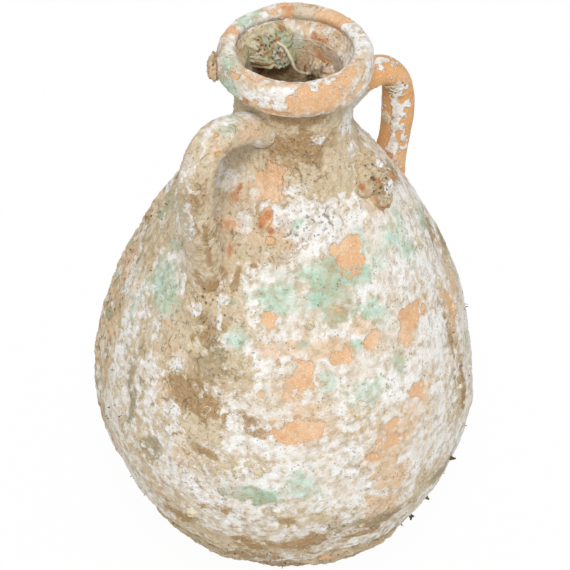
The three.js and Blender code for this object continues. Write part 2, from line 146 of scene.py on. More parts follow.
class Outline:
    """The vessel's outer outline, as radius and height against the run along it from the base's edge.

    Below the belly it is a superellipse, radius R cos(t)^p and height H - D sin(t)^p with p = 2 / fullness.
    A cubic Bezier curve makes the shoulder, a quadratic one the neck's root, and a line the neck.
    """

    def __init__(self):
        power = 2 / BELLY_FULLNESS
        cut = 1 - (BASE_RADIUS / BELLY_RADIUS) ** BELLY_FULLNESS
        depth = BELLY_HEIGHT / cut ** (1 / BELLY_FULLNESS)
        turn = np.linspace(math.asin(math.sqrt(cut)), 0, 1500)
        belly = np.stack(
            [BELLY_RADIUS * np.cos(turn) ** power, BELLY_HEIGHT - depth * np.sin(turn) ** power], -1
        )
        shoulder = bezier(
            [
                (BELLY_RADIUS, BELLY_HEIGHT),
                (BELLY_RADIUS, BELLY_HEIGHT + SHOULDER_BULGE),
                (SHOULDER_RADIUS + SHOULDER_SLOPE * SHOULDER_RUN, SHOULDER_HEIGHT - SHOULDER_RUN),
                (SHOULDER_RADIUS, SHOULDER_HEIGHT),
            ],
            1500,
        )
        root = bezier(
            [(SHOULDER_RADIUS, SHOULDER_HEIGHT), (NECK_RADIUS, NECK_BEND), (NECK_RADIUS, NECK_FOOT)], 400
        )
        neck = bezier([(NECK_RADIUS, NECK_FOOT), (NECK_RADIUS, NECK_TOP)], 200)
        self.points = np.concatenate([belly, shoulder[1:], root[1:], neck[1:]])
        steps = np.linalg.norm(np.diff(self.points, axis=0), axis=1)
        self.runs = np.concatenate([[0], np.cumsum(steps)])
        slopes = np.gradient(self.points, self.runs, axis=0)
        self.normals = np.stack([slopes[:, 1], -slopes[:, 0]], -1)
        self.normals /= np.linalg.norm(self.normals, axis=1)[:, None]
        self.belly_end = self.runs[len(belly) - 1]
        self.shoulder_end = self.runs[len(belly) + len(shoulder) - 2]
        self.neck_end = self.runs[-1]

    def normal(self, run):
        """The outward normal at a run, as its radial and its upward part."""
        return np.stack([np.interp(run, self.runs, part) for part in self.normals.T], -1)

    def at(self, run, distance=0.0):
        """The radius and height at a run, moved out along the normal by a distance."""
        point = np.stack([np.interp(run, self.runs, part) for part in self.points.T], -1)
        return point + self.normal(run) * np.asarray(distance)[..., None]

    def run_at(self, height):
        """The run at which the outline reaches a height."""
        return np.interp(height, self.points[:, 1], self.runs)

    def wall(self, run):
        """How thick the wall is: it thins evenly from the belly to the top of the shoulder."""
        return np.interp(run, [self.belly_end, self.shoulder_end], [BODY_WALL, NECK_WALL])


OUTLINE = Outline()


def around(radius, degrees, height):
    """Points at a radius, an azimuth and a height."""
    angle = np.asarray(degrees) * DEGREE
    return np.stack(np.broadcast_arrays(radius * np.cos(angle), radius * np.sin(angle), height), -1)


def on_wall(degrees, height, out=0.0):
    """The place on the outer wall at an azimuth and a height, and the wall's outward normal there."""
    run = OUTLINE.run_at(height)
    point = OUTLINE.at(run, out)
    normal = OUTLINE.normal(run)
    return (
        around(point[..., 0], degrees, point[..., 1]),
        around(normal[..., 0], degrees, normal[..., 1]),
    )


def unit(vectors):
    """The same directions with a length of one."""
    return vectors / np.linalg.norm(vectors, axis=-1, keepdims=True)


def soft_step(value, low, high):
    """0 below low, 1 above high, and 3t^2 - 2t^3 between them."""
    t = np.clip((value - low) / (high - low), 0, 1)
    return t * t * (3 - 2 * t)


# Noise, worked out from fixed tables so that every run gives the same shapes

LATTICE = np.random.default_rng(3).random((64, 64, 64))
SPOTS = np.random.default_rng(5).random((32, 32, 32, 3))
TURN = np.array(Quaternion((0.8, 0.36, 0.48, 0.1)).normalized().to_matrix())


def noise(points, size, seed=0):
    """Smooth value noise from 0 to 1: random values at the corners of turned cubes of a size, blended
    along each axis with 6t^5 - 15t^4 + 10t^3."""
    place = points @ TURN.T / size + 7.31 * (seed + 1)
    corner = np.floor(place).astype(int)
    share = place - corner
    share = share**3 * (share * (share * 6 - 15) + 10)
    total = np.zeros(points.shape[:-1])
    for step in product((0, 1), repeat=3):
        index = (corner + step) & 63
        weight = np.where(step, share, 1 - share).prod(-1)
        total += weight * LATTICE[index[..., 0], index[..., 1], index[..., 2]]
    return total


def layered(points, size, octaves=3, seed=0):
    """Noise at a size and at its halves, each half as strong as the last, as a mean from 0 to 1."""
    total = sum(noise(points, size / 2**k, seed + 11 * k) / 2**k for k in range(octaves))
    return total / (2 - 2.0 ** (1 - octaves))


def cells(points, size, seed=0):
    """The distance to the nearest of one random spot in each turned cube of a size, in shares of it."""
    place = points @ TURN / size + 3.7 * (seed + 1)
    corner = np.floor(place).astype(int)
    nearest = np.full(points.shape[:-1], 9.0)
    for step in product((-1, 0, 1), repeat=3):
        cube = corner + step
        index = cube & 31
        spot = cube + SPOTS[index[..., 0], index[..., 1], index[..., 2]]
        nearest = np.minimum(nearest, ((spot - place) ** 2).sum(-1))
    return np.sqrt(nearest)


def domes(points, size, seed=0):
    """Rounded bumps of a size, from 0 between them to 1 on top: 1 - (1.4 d)^2 of the cells' distance d."""
    return np.clip(1 - (1.4 * cells(points, size, seed)) ** 2, 0, 1)


def lump(across, along, lobes):
    """The growths' fixed sum of waves, as the part's own source has it."""
    return (
        0.5 * np.sin(lobes * across + 1.3 * along)
        + 0.3 * np.sin(2.3 * lobes * along - across)
        + 0.2 * np.cos(3.1 * across + 4.7 * along)
    )


# Meshes from grids of points

KEEN_EDGE = 58 * DEGREE


def grid_faces(grids, closed_rows):
    """Quads of (pieces, rows, columns) of points, and triangles that close each open end to a pole.

    Columns run round and close on themselves, and so do rows where closed_rows is set. Otherwise two
    poles for each piece follow the grid's points, the first rows' poles and then the last rows'.
    """
    pieces, rows, columns = grids.shape[:3]
    here = np.arange(pieces * rows * columns).reshape(pieces, rows, columns)
    right = np.roll(here, -1, axis=2)
    if closed_rows:
        up = np.roll(here, -1, axis=1)
        up_right = np.roll(right, -1, axis=1)
        return np.stack([here, right, up_right, up], -1).reshape(-1, 4), np.empty((0, 3), int)
    quads = np.stack([here[:, :-1], right[:, :-1], right[:, 1:], here[:, 1:]], -1).reshape(-1, 4)
    first = here.size + np.arange(pieces)[:, None] + 0 * here[:, 0]
    last = first + pieces
    fans = [
        np.stack([first, right[:, 0], here[:, 0]], -1).reshape(-1, 3),
        np.stack([last, here[:, -1], right[:, -1]], -1).reshape(-1, 3),
    ]
    return quads, np.concatenate(fans)


def with_poles(values, closed_rows):
    """Values of a grid as a flat list of points, followed by the mean of each piece's end rows."""
    width = values.shape[3:]
    flat = values.reshape(-1, *width)
    if closed_rows:
        return flat
    return np.concatenate([flat, values[:, 0].mean(1), values[:, -1].mean(1)])


def grid_mesh(name, grids, paint=None, closed_rows=False):
    """A mesh of (pieces, rows, columns, 3) points in millimetres, its faces turned outwards.

    The sum of a . (b x c) over the faces is six times the volume, and its sign tells which way they look.
    """
    points = with_poles(grids, closed_rows) / MM
    quads, fans = grid_faces(grids, closed_rows)
    halves = np.concatenate([quads[:, [0, 1, 2]], quads[:, [0, 2, 3]], fans])
    a, b, c = (points[halves[:, k]] for k in range(3))
    if (a * np.cross(b, c)).sum() < 0:
        quads, fans = quads[:, ::-1], fans[:, ::-1]
    mesh = bpy.data.meshes.new(name)
    mesh.vertices.add(len(points))
    mesh.vertices.foreach_set("co", points.astype(np.float32).ravel())
    corners = np.concatenate([quads.ravel(), fans.ravel()]).astype(np.int32)
    starts = np.concatenate([np.arange(len(quads)) * 4, quads.size + np.arange(len(fans)) * 3])
    mesh.loops.add(len(corners))
    mesh.loops.foreach_set("vertex_index", corners)
    mesh.polygons.add(len(starts))
    mesh.polygons.foreach_set("loop_start", starts.astype(np.int32))
    mesh.update(calc_edges=True)
    for label, values in (paint or {}).items():
        flat = with_poles(values, closed_rows).astype(np.float32)
        wide = flat.ndim == 2
        layer = mesh.attributes.new(label, "FLOAT_VECTOR" if wide else "FLOAT", "POINT")
        layer.data.foreach_set("vector" if wide else "value", flat.ravel())
    mesh.shade_smooth()
    mesh.set_sharp_from_angle(angle=KEEN_EDGE)
    return mesh


def show(name, mesh, slot, replaces=()):
    """Puts a mesh in the scene as a piece that rides on the vessel, with its slot's material."""
    old = bpy.data.objects.get(name)
    if old:
        bpy.data.objects.remove(old)
    piece = bpy.data.objects.new(name, mesh)
    bpy.context.scene.collection.objects.link(piece)
    mesh.materials.append(material(slot))
    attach(piece, "root")
    if replaces:
        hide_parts(*replaces)
    return piece


def tubes(paths, radii, sides, up=None):
    """Round tubes along (pieces, places, 3) paths: each place p carries the ring p + r(u cos a + v sin a).

    u is up, or else the axis that the path leans on least, made square to the path, and v is square to
    both. The radii are (pieces, places) or (places,).
    """
    along = unit(np.gradient(paths, axis=1))
    if up is None:
        lean = np.abs(along).mean(1).argmin(-1)
        up = np.eye(3)[lean][:, None, :]
    across = unit(up - (up * along).sum(-1, keepdims=True) * along)
    beside = np.cross(along, across)
    angle = np.linspace(0, 2 * np.pi, sides, endpoint=False)
    ring = across[..., None, :] * np.cos(angle)[:, None] + beside[..., None, :] * np.sin(angle)[:, None]
    return paths[..., None, :] + ring * np.broadcast_to(radii, paths.shape[:2])[..., None, None]


# What a user would change


def length(name, description, default):
    """A property for a length, its default in millimetres."""
    return bpy.props.FloatProperty(
        name=name,
        description=description,
        default=default / MM,
        min=0,
        soft_max=0.02,
        precision=4,
        unit="LENGTH",
    )


def srgb(*levels):
    """A colour written with levels from 0 to 255, as linear light."""
    share = np.array(levels) / 255
    light = np.where(share > 0.04045, ((share + 0.055) / 1.055) ** 2.4, share / 12.92)
    return tuple(float(part) for part in light)


def colour(name, description, *levels):
    """A property for a colour, its default written with levels from 0 to 255."""
    return bpy.props.FloatVectorProperty(
        name=name, description=description, default=srgb(*levels), subtype="COLOR", size=3, min=0, max=1
    )


class AmphoraRelief(bpy.types.PropertyGroup):
    """How deep the clay's and the crust's relief is."""

    wobble: length("Wobble", "How far the hand-thrown wall wanders from its even outline", 1.5)
    crust: length("Crust", "How much the lime crust's thickness varies", 0.9)
    flakes: length("Flakes", "Height of one step between flakes of crust", 0.5)
    bare_depth: length("Bare Depth", "How far bare clay lies below the crust's face", 0.8)
    grit: length("Grit", "How far grains and worm casts stand out of the sediment", 1.1)
    lumps: length("Lumps", "How far lumps stand out of the thick growths", 3)


class AmphoraColours(bpy.types.PropertyGroup):
    """Colours of the clay and of what grew and settled on it."""

    crust_bright: colour("Bright Crust", "Lime crust where it is cleanest", 247, 246, 243)
    crust: colour("Crust", "Lime crust", 242, 238, 231)
    crust_shade: colour("Shaded Crust", "Lime crust where sediment stains it", 230, 216, 197)
    clay: colour("Clay", "Bare clay of the body and rim", 225, 178, 132)
    clay_pale: colour("Pale Clay", "Bare clay under a thin veil of lime", 233, 202, 168)
    handle_clay: colour("Handle Clay", "Bare clay of the right handle", 222, 166, 106)
    sediment: colour("Sediment", "Dry sediment", 219, 201, 170)
    # Dark sediment is also the colour of the painted shade in the relief's valleys
    sediment_dark: colour("Dark Sediment", "Sediment in hollows and on lumps", 189, 164, 126)
    brown: colour("Brown Growth", "Dry brown growth", 168, 132, 88)
    olive: colour("Olive Growth", "Dull grey-brown growth", 156, 145, 112)
    mint: colour("Mint Growth", "Pale blue-green growth", 182, 216, 194)
    sage: colour("Sage Growth", "Grey-green growth", 168, 186, 154)
    rust: colour("Rust", "Rusty stain", 205, 140, 92)
    rust_dark: colour("Dark Rust", "Heart of a rusty stain", 150, 92, 60)
    # The hollow colour is grime in pits and cracks together with the painted shade in them
    hollow: colour("Hollow", "Dirt in pits and cracks", 104, 80, 56)
    green: colour("Green Growth", "Plate of green growth in the mouth", 208, 198, 158)
    lime: colour("Grown Lime", "Worm tubes, barnacles and shell", 224, 212, 184)
    lime_shade: colour("Shaded Lime", "Foot of the worm tubes and barnacles", 192, 176, 150)
    weed: colour("Weed", "Dry weed", 70, 50, 35)
    weed_tip: colour("Weed Tip", "Ends of the dry weed", 120, 95, 60)


class AmphoraStage(bpy.types.PropertyGroup):
    """The studio's light and floor."""

    sky: bpy.props.FloatProperty(
        name="Sky", description="Strength of the even light from all sides", default=0.6, min=0, soft_max=2
    )
    sun: bpy.props.FloatProperty(
        name="Sun", description="Strength of the soft lamp from the upper front", default=1.95, min=0, soft_max=5
    )
    sun_size: bpy.props.FloatProperty(
        name="Sun Size",
        description="How wide the soft lamp looks, which sets how soft its shadows are",
        default=20 * DEGREE,
        min=0,
        max=math.pi,
        subtype="ANGLE",
        unit="ROTATION",
    )
    floor: colour("Floor", "Colour of the floor under the object's shadow", 232, 232, 232)
    floor_glow: bpy.props.FloatProperty(
        name="Floor Glow",
        description="How far the floor shows plain white instead of its lit colour",
        default=0.96,
        min=0,
        max=1,
        subtype="FACTOR",
    )


def relief(name):
    """A length of the relief, in millimetres."""
    return getattr(bpy.context.scene.amphora_relief, name) * MM


# Where each covering lies. A mark is an azimuth, a height, half its width, half its height, all in
# degrees or millimetres, and how thick it lies: 1 covers fully and 0.6 leaves it mottled.

KINDS = ("clay", "sediment", "brown", "mint", "sage", "rust", "lime", "blush", "olive")
WALL_MARKS = {
    "clay": [
        (213, 503, 13, 17, 1), (260, 447, 15, 13, 1.1), (265, 438, 8, 6, 1), (253, 451, 8, 8, 0.9),
        (281, 371, 18, 10, 1), (277, 357, 10, 13, 1), (288, 366, 6, 6, 0.9), (306, 340, 8, 18, 0.75),
        (262, 366, 9, 8, 0.95), (247.5, 358, 14, 8, 1), (252, 364, 8, 6, 0.8), (248.5, 403, 9, 8, 0.5),
        (236, 350, 10, 13, 1), (222, 396, 8, 8, 0.95), (236, 291, 24, 12, 1.1), (230, 284, 12, 9, 0.9),
        (275, 299, 13, 12, 0.75), (265, 278, 13, 6, 0.8), (263, 256, 17, 9, 0.75), (258, 244, 10, 8, 0.7),
        (230.5, 330, 8, 6, 0.6), (221.5, 327, 6, 6, 0.65), (291, 445, 5, 5, 0.6), (219, 462, 6, 5, 0.8),
        (216, 480, 9, 14, 0.8),
    ],
    "blush": [
        (245, 367, 34, 13, 0.95), (258, 381, 16, 10, 0.8), (249, 402, 13, 9, 0.8), (232, 372, 20, 9, 0.75),
        (223, 368, 16, 9, 0.8), (181, 359, 12, 10, 0.8), (186, 340, 14, 9, 0.7), (230, 328, 14, 10, 0.75),
        (276, 292, 18, 18, 0.7), (268, 268, 30, 20, 0.85), (262, 240, 26, 20, 0.9), (264, 212, 20, 20, 0.85),
        (260, 182, 24, 16, 0.9), (236, 290, 40, 22, 0.7), (304, 345, 12, 26, 0.8), (291, 448, 10, 12, 0.6),
        (228, 459, 9, 6, 0.8), (216, 470, 20, 16, 0.7), (192, 465, 12, 8, 0.8), (213, 503, 18, 22, 0.8),
        (196, 236, 18, 14, 0.6), (187, 300, 12, 16, 0.65), (238, 312, 20, 10, 0.6), (290, 475, 18, 14, 0.7),
    ],
    "sediment": [
        (262, 500, 45, 16, 0.9), (198, 455, 62, 46, 0.95), (188, 356, 66, 62, 0.85), (212, 345, 30, 34, 0.8),
        (198, 282, 46, 40, 0.8), (184, 226, 40, 40, 0.62), (222, 447, 16, 14, 0.8), (206, 400, 26, 32, 0.8),
        (301, 300, 12, 60, 0.7), (298, 235, 16, 40, 0.8), (215, 118, 110, 30, 0.95), (262, 215, 26, 30, 0.6),
        (224, 255, 26, 14, 0.6), (206, 236, 18, 12, 0.66), (280, 170, 40, 26, 0.75), (190, 165, 50, 30, 0.7),
        (238, 178, 50, 14, 0.75), (211, 248, 24, 16, 0.8),
    ],
    # Some brown marks are painted shade: (206, 425), (197, 405) and (199, 425) along the left handle's foot are
    # brown-red stain and painted shadow of the handle; (235, 571) is a painted shadow of the rim on the neck;
    # (235, 540) is the neck's tan-brown and painted shade under the rim
    "brown": [
        (195, 308, 24, 17, 1), (203, 300, 16, 12, 1), (216, 296, 18, 9, 0.9), (222, 287, 10, 8, 0.8),
        (203, 340, 26, 24, 0.5), (199, 366, 18, 10, 0.75), (194, 387, 15, 5, 0.95), (213, 439, 9, 3, 0.9),
        (206, 425, 4, 18, 1), (197, 405, 10, 4, 0.9), (235, 540, 60, 18, 0.8), (192, 140, 20, 9, 0.9),
        (216, 132, 18, 7, 0.95), (232, 128, 50, 11, 0.85), (256, 134, 16, 6, 0.95), (235, 571, 70, 8, 0.95),
        (239, 138, 14, 10, 0.95), (220, 119, 16, 12, 0.95), (199, 425, 5, 8, 0.9), (206, 252, 14, 6, 0.8),
        (301, 250, 7, 46, 0.8), (299, 320, 5, 30, 0.7), (230, 176, 16, 6, 0.7), (212, 182, 16, 7, 0.7),
        (260, 150, 34, 7, 0.85),
    ],
    "olive": [
        (186, 226, 11, 15, 1.1), (175, 250, 6, 26, 0.85), (172, 285, 6, 22, 0.7), (256, 156, 36, 9, 0.8),
        (204, 352, 18, 22, 0.6), (290, 160, 26, 16, 0.8), (221, 211, 26, 7, 1.2),
    ],
    "mint": [
        (223, 416, 30, 15, 0.95), (222, 413, 10, 8, 1), (237, 412, 20, 12, 0.85), (265, 396, 9, 9, 1),
        (267, 449, 12, 13, 0.85), (276, 430, 13, 13, 0.85), (288, 440, 18, 13, 0.8), (293, 420, 16, 14, 0.75),
        (316, 418, 16, 16, 0.75), (298, 453, 5, 5, 0.9), (234, 476, 5, 5, 1), (240, 435, 13, 10, 0.85),
        (270, 378, 10, 16, 0.8), (255, 367, 9, 7, 0.95), (244, 341, 8, 9, 0.95), (258, 318, 20, 12, 0.62),
        (236, 374, 8, 4, 0.8), (170, 384, 32, 24, 0.85), (177, 366, 14, 10, 0.9), (160, 340, 10, 20, 0.6),
        (212, 375, 14, 9, 0.8), (224, 215, 36, 8, 0.62), (236, 226, 18, 20, 0.8), (212, 222, 6, 7, 0.9),
        (262, 425, 20, 16, 0.7),
    ],
    "sage": [
        (249, 424, 24, 26, 1.05), (249, 443, 13, 9, 1), (260, 432, 14, 9, 0.95), (248, 403, 18, 12, 0.85),
        (271, 337, 6, 12, 0.95), (222, 210, 28, 7, 1.3), (168, 390, 20, 16, 0.6), (228, 428, 14, 10, 0.7),
    ],
    "rust": [
        (216, 482, 6, 7, 0.9), (213, 474, 4, 8, 0.85), (219, 470, 6, 5, 0.85), (190, 491, 4, 10, 0.7),
        (193, 465, 9, 5, 0.5), (199, 443, 3, 9, 0.7),
        (290, 470, 5, 14, 1.1),
    ],
    # Where the sediment leaves the lime bare
    "lime": [
        (303, 548, 20, 26, 0.75), (256, 545, 10, 8, 0.6), (292, 520, 10, 12, 0.6), (242, 478, 32, 19, 1.1),
        (246, 456, 26, 10, 1), (228, 484, 12, 9, 0.9), (272, 470, 14, 10, 0.9), (214, 288, 7, 13, 0.95),
        (209, 372, 9, 8, 0.85), (191, 280, 9, 11, 0.85), (190, 332, 10, 12, 0.7), (176, 350, 10, 12, 0.7),
        (194, 256, 12, 9, 0.7), (196, 215, 24, 12, 0.75), (236, 252, 20, 10, 0.7), (203, 470, 14, 12, 0.7),
        (224, 436, 20, 8, 0.7), (286, 230, 10, 40, 0.7), (283, 408, 24, 20, 0.9), (299, 388, 14, 24, 0.9),
        (291, 335, 14, 30, 0.9), (276, 320, 22, 14, 0.8),
    ],
    "pits": [(240, 476, 28, 22, 0.4), (299, 285, 12, 60, 0.8), (200, 300, 50, 60, 0.3)],
    "crack": [
        (194, 340, 60, 90, 0.8), (225, 525, 60, 34, 0.8), (200, 460, 50, 30, 0.8), (256, 156, 60, 24, 1),
        (200, 200, 60, 50, 0.6), (242, 476, 30, 20, 1), (300, 280, 16, 70, 0.9),
    ],
}
# Where the hand-thrown wall lies further in or out than its even outline: azimuth, height, half the width
# and half the height, and how far out
SWERVES = [(142, 400, 120, 95, -6), (325, 505, 34, 26, -5)]

# The side that the photograph doesn't show: how many marks of each kind, half the widest, the thinnest
FAR_SIDE = (-50, 150)
FAR_MARKS = {
    "clay": (34, 15, 0.75), "sediment": (18, 48, 0.5), "brown": (14, 24, 0.6), "mint": (16, 18, 0.65),
    "sage": (8, 20, 0.7), "rust": (8, 9, 0.7), "lime": (16, 16, 0.7), "blush": (26, 30, 0.7),
    "olive": (8, 18, 0.7),
}


def far_marks(kind):
    """Marks at random places on the far side, as many and as wide as FAR_MARKS says."""
    count, widest, thinnest = FAR_MARKS[kind]
    draw = np.random.default_rng(40 + KINDS.index(kind))
    half = draw.uniform(0.3, 1, count) * widest
    return np.stack(
        [
            draw.uniform(*FAR_SIDE, count),
            draw.uniform(30, 482, count),
            half,
            half * draw.uniform(0.5, 1.1, count),
            draw.uniform(thinnest, thinnest + 0.35, count),
        ],
        axis=-1,
    )


def cover(distance, ragged, strength):
    """How thickly a mark lies: strength (1.5 - d), kept from 0 to strength, where d is the distance from
    the mark's middle in shares of its half width, drawn in and out by 0.1 + 1.8 ragged."""
    return strength * np.clip(1.5 - distance * np.clip(0.1 + 1.8 * ragged, 0.4, 1.8), 0, 1)


def patch_field(points, ragged, marks, places=None):
    """How thickly the thickest of some marks lies at each point.

    Across is the part of the way from the mark's middle that runs round the axis, and rest is what is
    left of it, so the distance is the root of (across / half width)^2 + (rest / half height)^2.
    """
    field = np.zeros(points.shape[:-1])
    for azimuth, height, half_width, half_height, strength in marks:
        middle = on_wall(azimuth, height)[0] if places is None else places(azimuth, height)
        offset = points - middle
        across = offset @ around(1, azimuth + 90, 0)
        rest = np.maximum((offset**2).sum(-1) - across**2, 0)
        distance = np.sqrt((across / half_width) ** 2 + rest / half_height**2)
        field = np.maximum(field, cover(distance, ragged, strength))
    return field


# The vertex layers that the materials read, and the kind of covering in each of their parts. The last part of
# paint_last is random grime on the handles and in the bore, and painted shade in the relief's valleys elsewhere
PAINT_LAYERS = {
    "paint_warm": ("clay", "sediment", "brown"),
    "paint_cool": ("mint", "sage", "rust"),
    "paint_last": ("lime", "pits", "dirt_and_valley_shade"),
    "paint_soft": ("blush", "olive", "crack"),
}


def paint_of(fields):
    """Fields by kind as vertex layers. A kind that isn't there covers nothing."""
    nothing = 0 * next(iter(fields.values()))
    return {
        label: np.stack([fields.get(kind, nothing) for kind in kinds], -1)
        for label, kinds in PAINT_LAYERS.items()
    }


def layer_of(paint, kind):
    """One kind's field out of the vertex layers."""
    label = next(label for label, kinds in PAINT_LAYERS.items() if kind in kinds)
    return paint[label][..., PAINT_LAYERS[label].index(kind)]


def wall_paint(points):
    """What covers the outer wall at each point: the marks of both sides, flecks of bare clay and beige
    stains at random, sediment all over the neck, brown growth near the base, and pits in their zones."""
    ragged = layered(points, 16, 4, 5)
    height = points[..., 2]
    fields = {}
    for kind in KINDS:
        marks = [*WALL_MARKS[kind], *far_marks(kind)]
        fields[kind] = patch_field(points, ragged, marks)
    away = soft_step(-(points @ around(1, 232, 0)), 20, 90) * soft_step(-height, -505, -480)
    flecks = 0.75 * soft_step(layered(points, 20, 3, 21), 0.6, 0.7)
    stains = 0.62 * soft_step(layered(points, 50, 3, 22), 0.5, 0.62)
    behind = soft_step(-(points @ around(1, 232, 0)), -10, 30)
    behind = behind * soft_step(layered(points, 24, 3, 24), 0.45, 0.6)
    neck = 0.95 * soft_step(height + 16 * ragged, 504, 522) * (1 - 0.7 * behind)
    foot = 0.8 * soft_step(layered(points, 24, 3, 23), 0.42, 0.58) * soft_step(-height, -130, -90)
    fields["clay"] = np.maximum(fields["clay"], flecks * away)
    fields["sediment"] = np.maximum.reduce([fields["sediment"], stains * (0.6 + 0.4 * away), neck])
    fields["brown"] = np.maximum(fields["brown"], foot)
    zones = 0.15 + patch_field(points, ragged, WALL_MARKS["pits"])
    fields["pits"] = zones * soft_step(-cells(points, 7, 2), -0.3, -0.16)
    # Painted shade: darker where the crust's 5 mm waves in wall_relief are low
    fields["dirt_and_valley_shade"] = soft_step(-layered(points, 5, 2, 3), -0.5, -0.3)
    fields["crack"] = 0.15 + patch_field(points, ragged, WALL_MARKS["crack"])
    return paint_of(fields)


def terraces(value):
    """Steps one apart with short ramps between them: the whole part plus the last fifth's smooth rise."""
    whole = np.floor(value)
    return whole + soft_step(value - whole, 0.8, 1)


def wall_relief(points, paint):
    """How far the crusted wall stands out of its even outline, in millimetres.

    A slow wobble and the swerves, depth e^(-(across / half width)^2 - (rest / half height)^2), plus a
    crust whose thickness varies in waves of 17 and 5 mm and falls in steps, which is missing over bare
    clay, plus grains on sediment and brown growth, less the pits.
    """
    crusted = 1 - soft_step(layer_of(paint, "clay"), 0.4, 0.6)
    loose = np.maximum(layer_of(paint, "sediment"), layer_of(paint, "brown"))
    rough = np.maximum(0.3, soft_step(loose, 0.35, 0.85))
    wobble = relief("wobble") * 4 * (layered(points, 110, 2, 1) - 0.5)
    for azimuth, height, half_width, half_height, depth in SWERVES:
        offset = points - on_wall(azimuth, height)[0]
        across = offset @ around(1, azimuth + 90, 0)
        rest = (offset**2).sum(-1) - across**2
        wobble = wobble + depth * np.exp(-((across / half_width) ** 2) - rest / half_height**2)
    waves = relief("crust") * (2 * layered(points, 17, 2, 2) + 1.6 * layered(points, 5, 2, 3) - 1.8)
    flakes = relief("flakes") * (terraces(7 * layered(points, 22, 3, 4)) - 3.5)
    grains = domes(points, 6.5, 6) + 0.55 * domes(points, 3.4, 7) - 0.4
    return (
        wobble
        + (crusted - 1) * relief("bare_depth")
        + crusted * (waves + flakes + rough * relief("grit") * grains)
        - 1.3 * layer_of(paint, "pits")
    )


# The vessel's walls, neck and rim

WALL_COLUMNS = 560
WALL_ROWS = 158
NECK_COLUMNS = 360


def turned(profile, columns):
    """A profile of (radius, height) rows turned about Z, as (rows, columns, 3) points."""
    angles = np.linspace(0, 360, columns, endpoint=False)
    return around(profile[:, None, 0], angles, profile[:, None, 1])


def moved(grid, profile_normals, distance):
    """A turned grid moved along its profile's normals, turned with it, by a distance at each point."""
    return grid + turned(profile_normals, grid.shape[1]) * distance[..., None]


def stacked(*paints):
    """Paints of grids that lie one after the other, as one."""
    return {label: np.concatenate([paint[label] for paint in paints])[None] for label in paints[0]}


def no_paint(grid):
    """The paint of a grid that nothing covers."""
    return paint_of({"pits": np.zeros(grid.shape[:-1])})


def crusted_ring(name, node, runs, columns, hidden, fade):
    """A ring of wall as a closed loop of rows: the crusted outside between runs, then the hidden faces.

    Each outer point is the outline's point moved along its normal by the relief times the fade.
    """
    flat = turned(OUTLINE.at(runs), columns)
    paint = wall_paint(flat)
    skin = moved(flat, OUTLINE.normal(runs), wall_relief(flat, paint) * fade[:, None])
    back = turned(hidden, columns)
    grid = np.concatenate([skin, back])[None]
    mesh = grid_mesh(name, grid, stacked(paint, no_paint(back)), closed_rows=True)
    return show(name, mesh, "crusted_clay", [node])


def inner_face(start, end, count):
    """Rows of the inner face between two runs: the outline moved in by the wall's thickness."""
    runs = np.linspace(start, end, count)
    return OUTLINE.at(runs, -OUTLINE.wall(runs))


def build_lower_wall():
    """The lower body, from the flat base to the belly, with its floor round the plug."""
    runs = np.linspace(0, OUTLINE.belly_end, WALL_ROWS)
    dense = np.linspace(0, OUTLINE.belly_end, 2000)
    floor_run = np.interp(FLOOR, OUTLINE.at(dense, -OUTLINE.wall(dense))[:, 1], dense)
    inner = inner_face(OUTLINE.belly_end + BELLY_BEVEL - SLIP, floor_run, 12)
    seat = [(PLUG_SEAT_TOP, inner[-1, 1]), (PLUG_SEAT, 0)]
    fade = soft_step(runs, 2, 26)
    crusted_ring("lower_wall", "lower_body", runs, WALL_COLUMNS, np.concatenate([inner, seat]), fade)


def build_upper_wall():
    """The upper body, from the belly to the neck's root."""
    runs = np.linspace(OUTLINE.belly_end, OUTLINE.shoulder_end, WALL_ROWS)
    inner = inner_face(OUTLINE.shoulder_end + NECK_BEVEL - SLIP, OUTLINE.belly_end + BELLY_BEVEL, 14)
    crusted_ring("upper_wall", "upper_body", runs, WALL_COLUMNS, inner, np.ones_like(runs))


# Marks in the mouth: azimuth, height, half the width and half the height, and the thickness

BORE_MARKS = {
    "clay": [(8, 566, 10, 20, 0.8), (20, 582, 10, 8, 0.7)],
    "blush": [(10, 570, 26, 34, 1), (352, 560, 20, 30, 0.9), (88, 590, 18, 9, 0.9), (30, 585, 12, 14, 0.8)],
    "sediment": [(60, 560, 46, 40, 1), (110, 575, 40, 24, 1), (330, 545, 24, 30, 0.7)],
    # (64, 552) and (120, 560), the deepest marks, are brown sediment and painted shade deep in the bore, under
    # the green plate
    "brown": [(64, 552, 30, 16, 0.9), (100, 600, 40, 6, 0.8), (120, 560, 20, 16, 0.7)],
    "mint": [(48, 590, 7, 10, 0.7)],
    "sage": [(118, 590, 8, 8, 0.6)],
    "rust": [(94, 604, 22, 4, 0.7), (14, 560, 4, 22, 0.7), (30, 598, 8, 5, 0.6)],
}


def bore_paint(points):
    """What covers the inside of the mouth: sediment to the left and behind, streaky pale clay at right."""
    ragged = layered(points, 9, 2, 8)
    fields = {}
    for kind, marks in BORE_MARKS.items():
        fields[kind] = patch_field(points, ragged, marks, lambda a, z: around(NECK_BORE, a, z))
    stretched = points * (1, 1, 0.25)
    streaks = 0.75 * soft_step(layered(stretched, 6, 2, 9), 0.35, 0.6)
    right = soft_step(points @ around(1, -20, 0), -10, 20)
    fields["blush"] = np.maximum(fields["blush"], streaks * right)
    fields["sediment"] = np.maximum(fields["sediment"], 0.8 - 0.6 * right)
    fields["pits"] = 0.5 * (1 - right) * soft_step(-cells(points, 5, 3), -0.3, -0.16)
    fields["dirt_and_valley_shade"] = (0.6 - 0.4 * right) * soft_step(layered(points, 12, 3, 10), 0.45, 0.6)
    fields["crack"] = 0.8 - 0.8 * right
    return paint_of(fields)


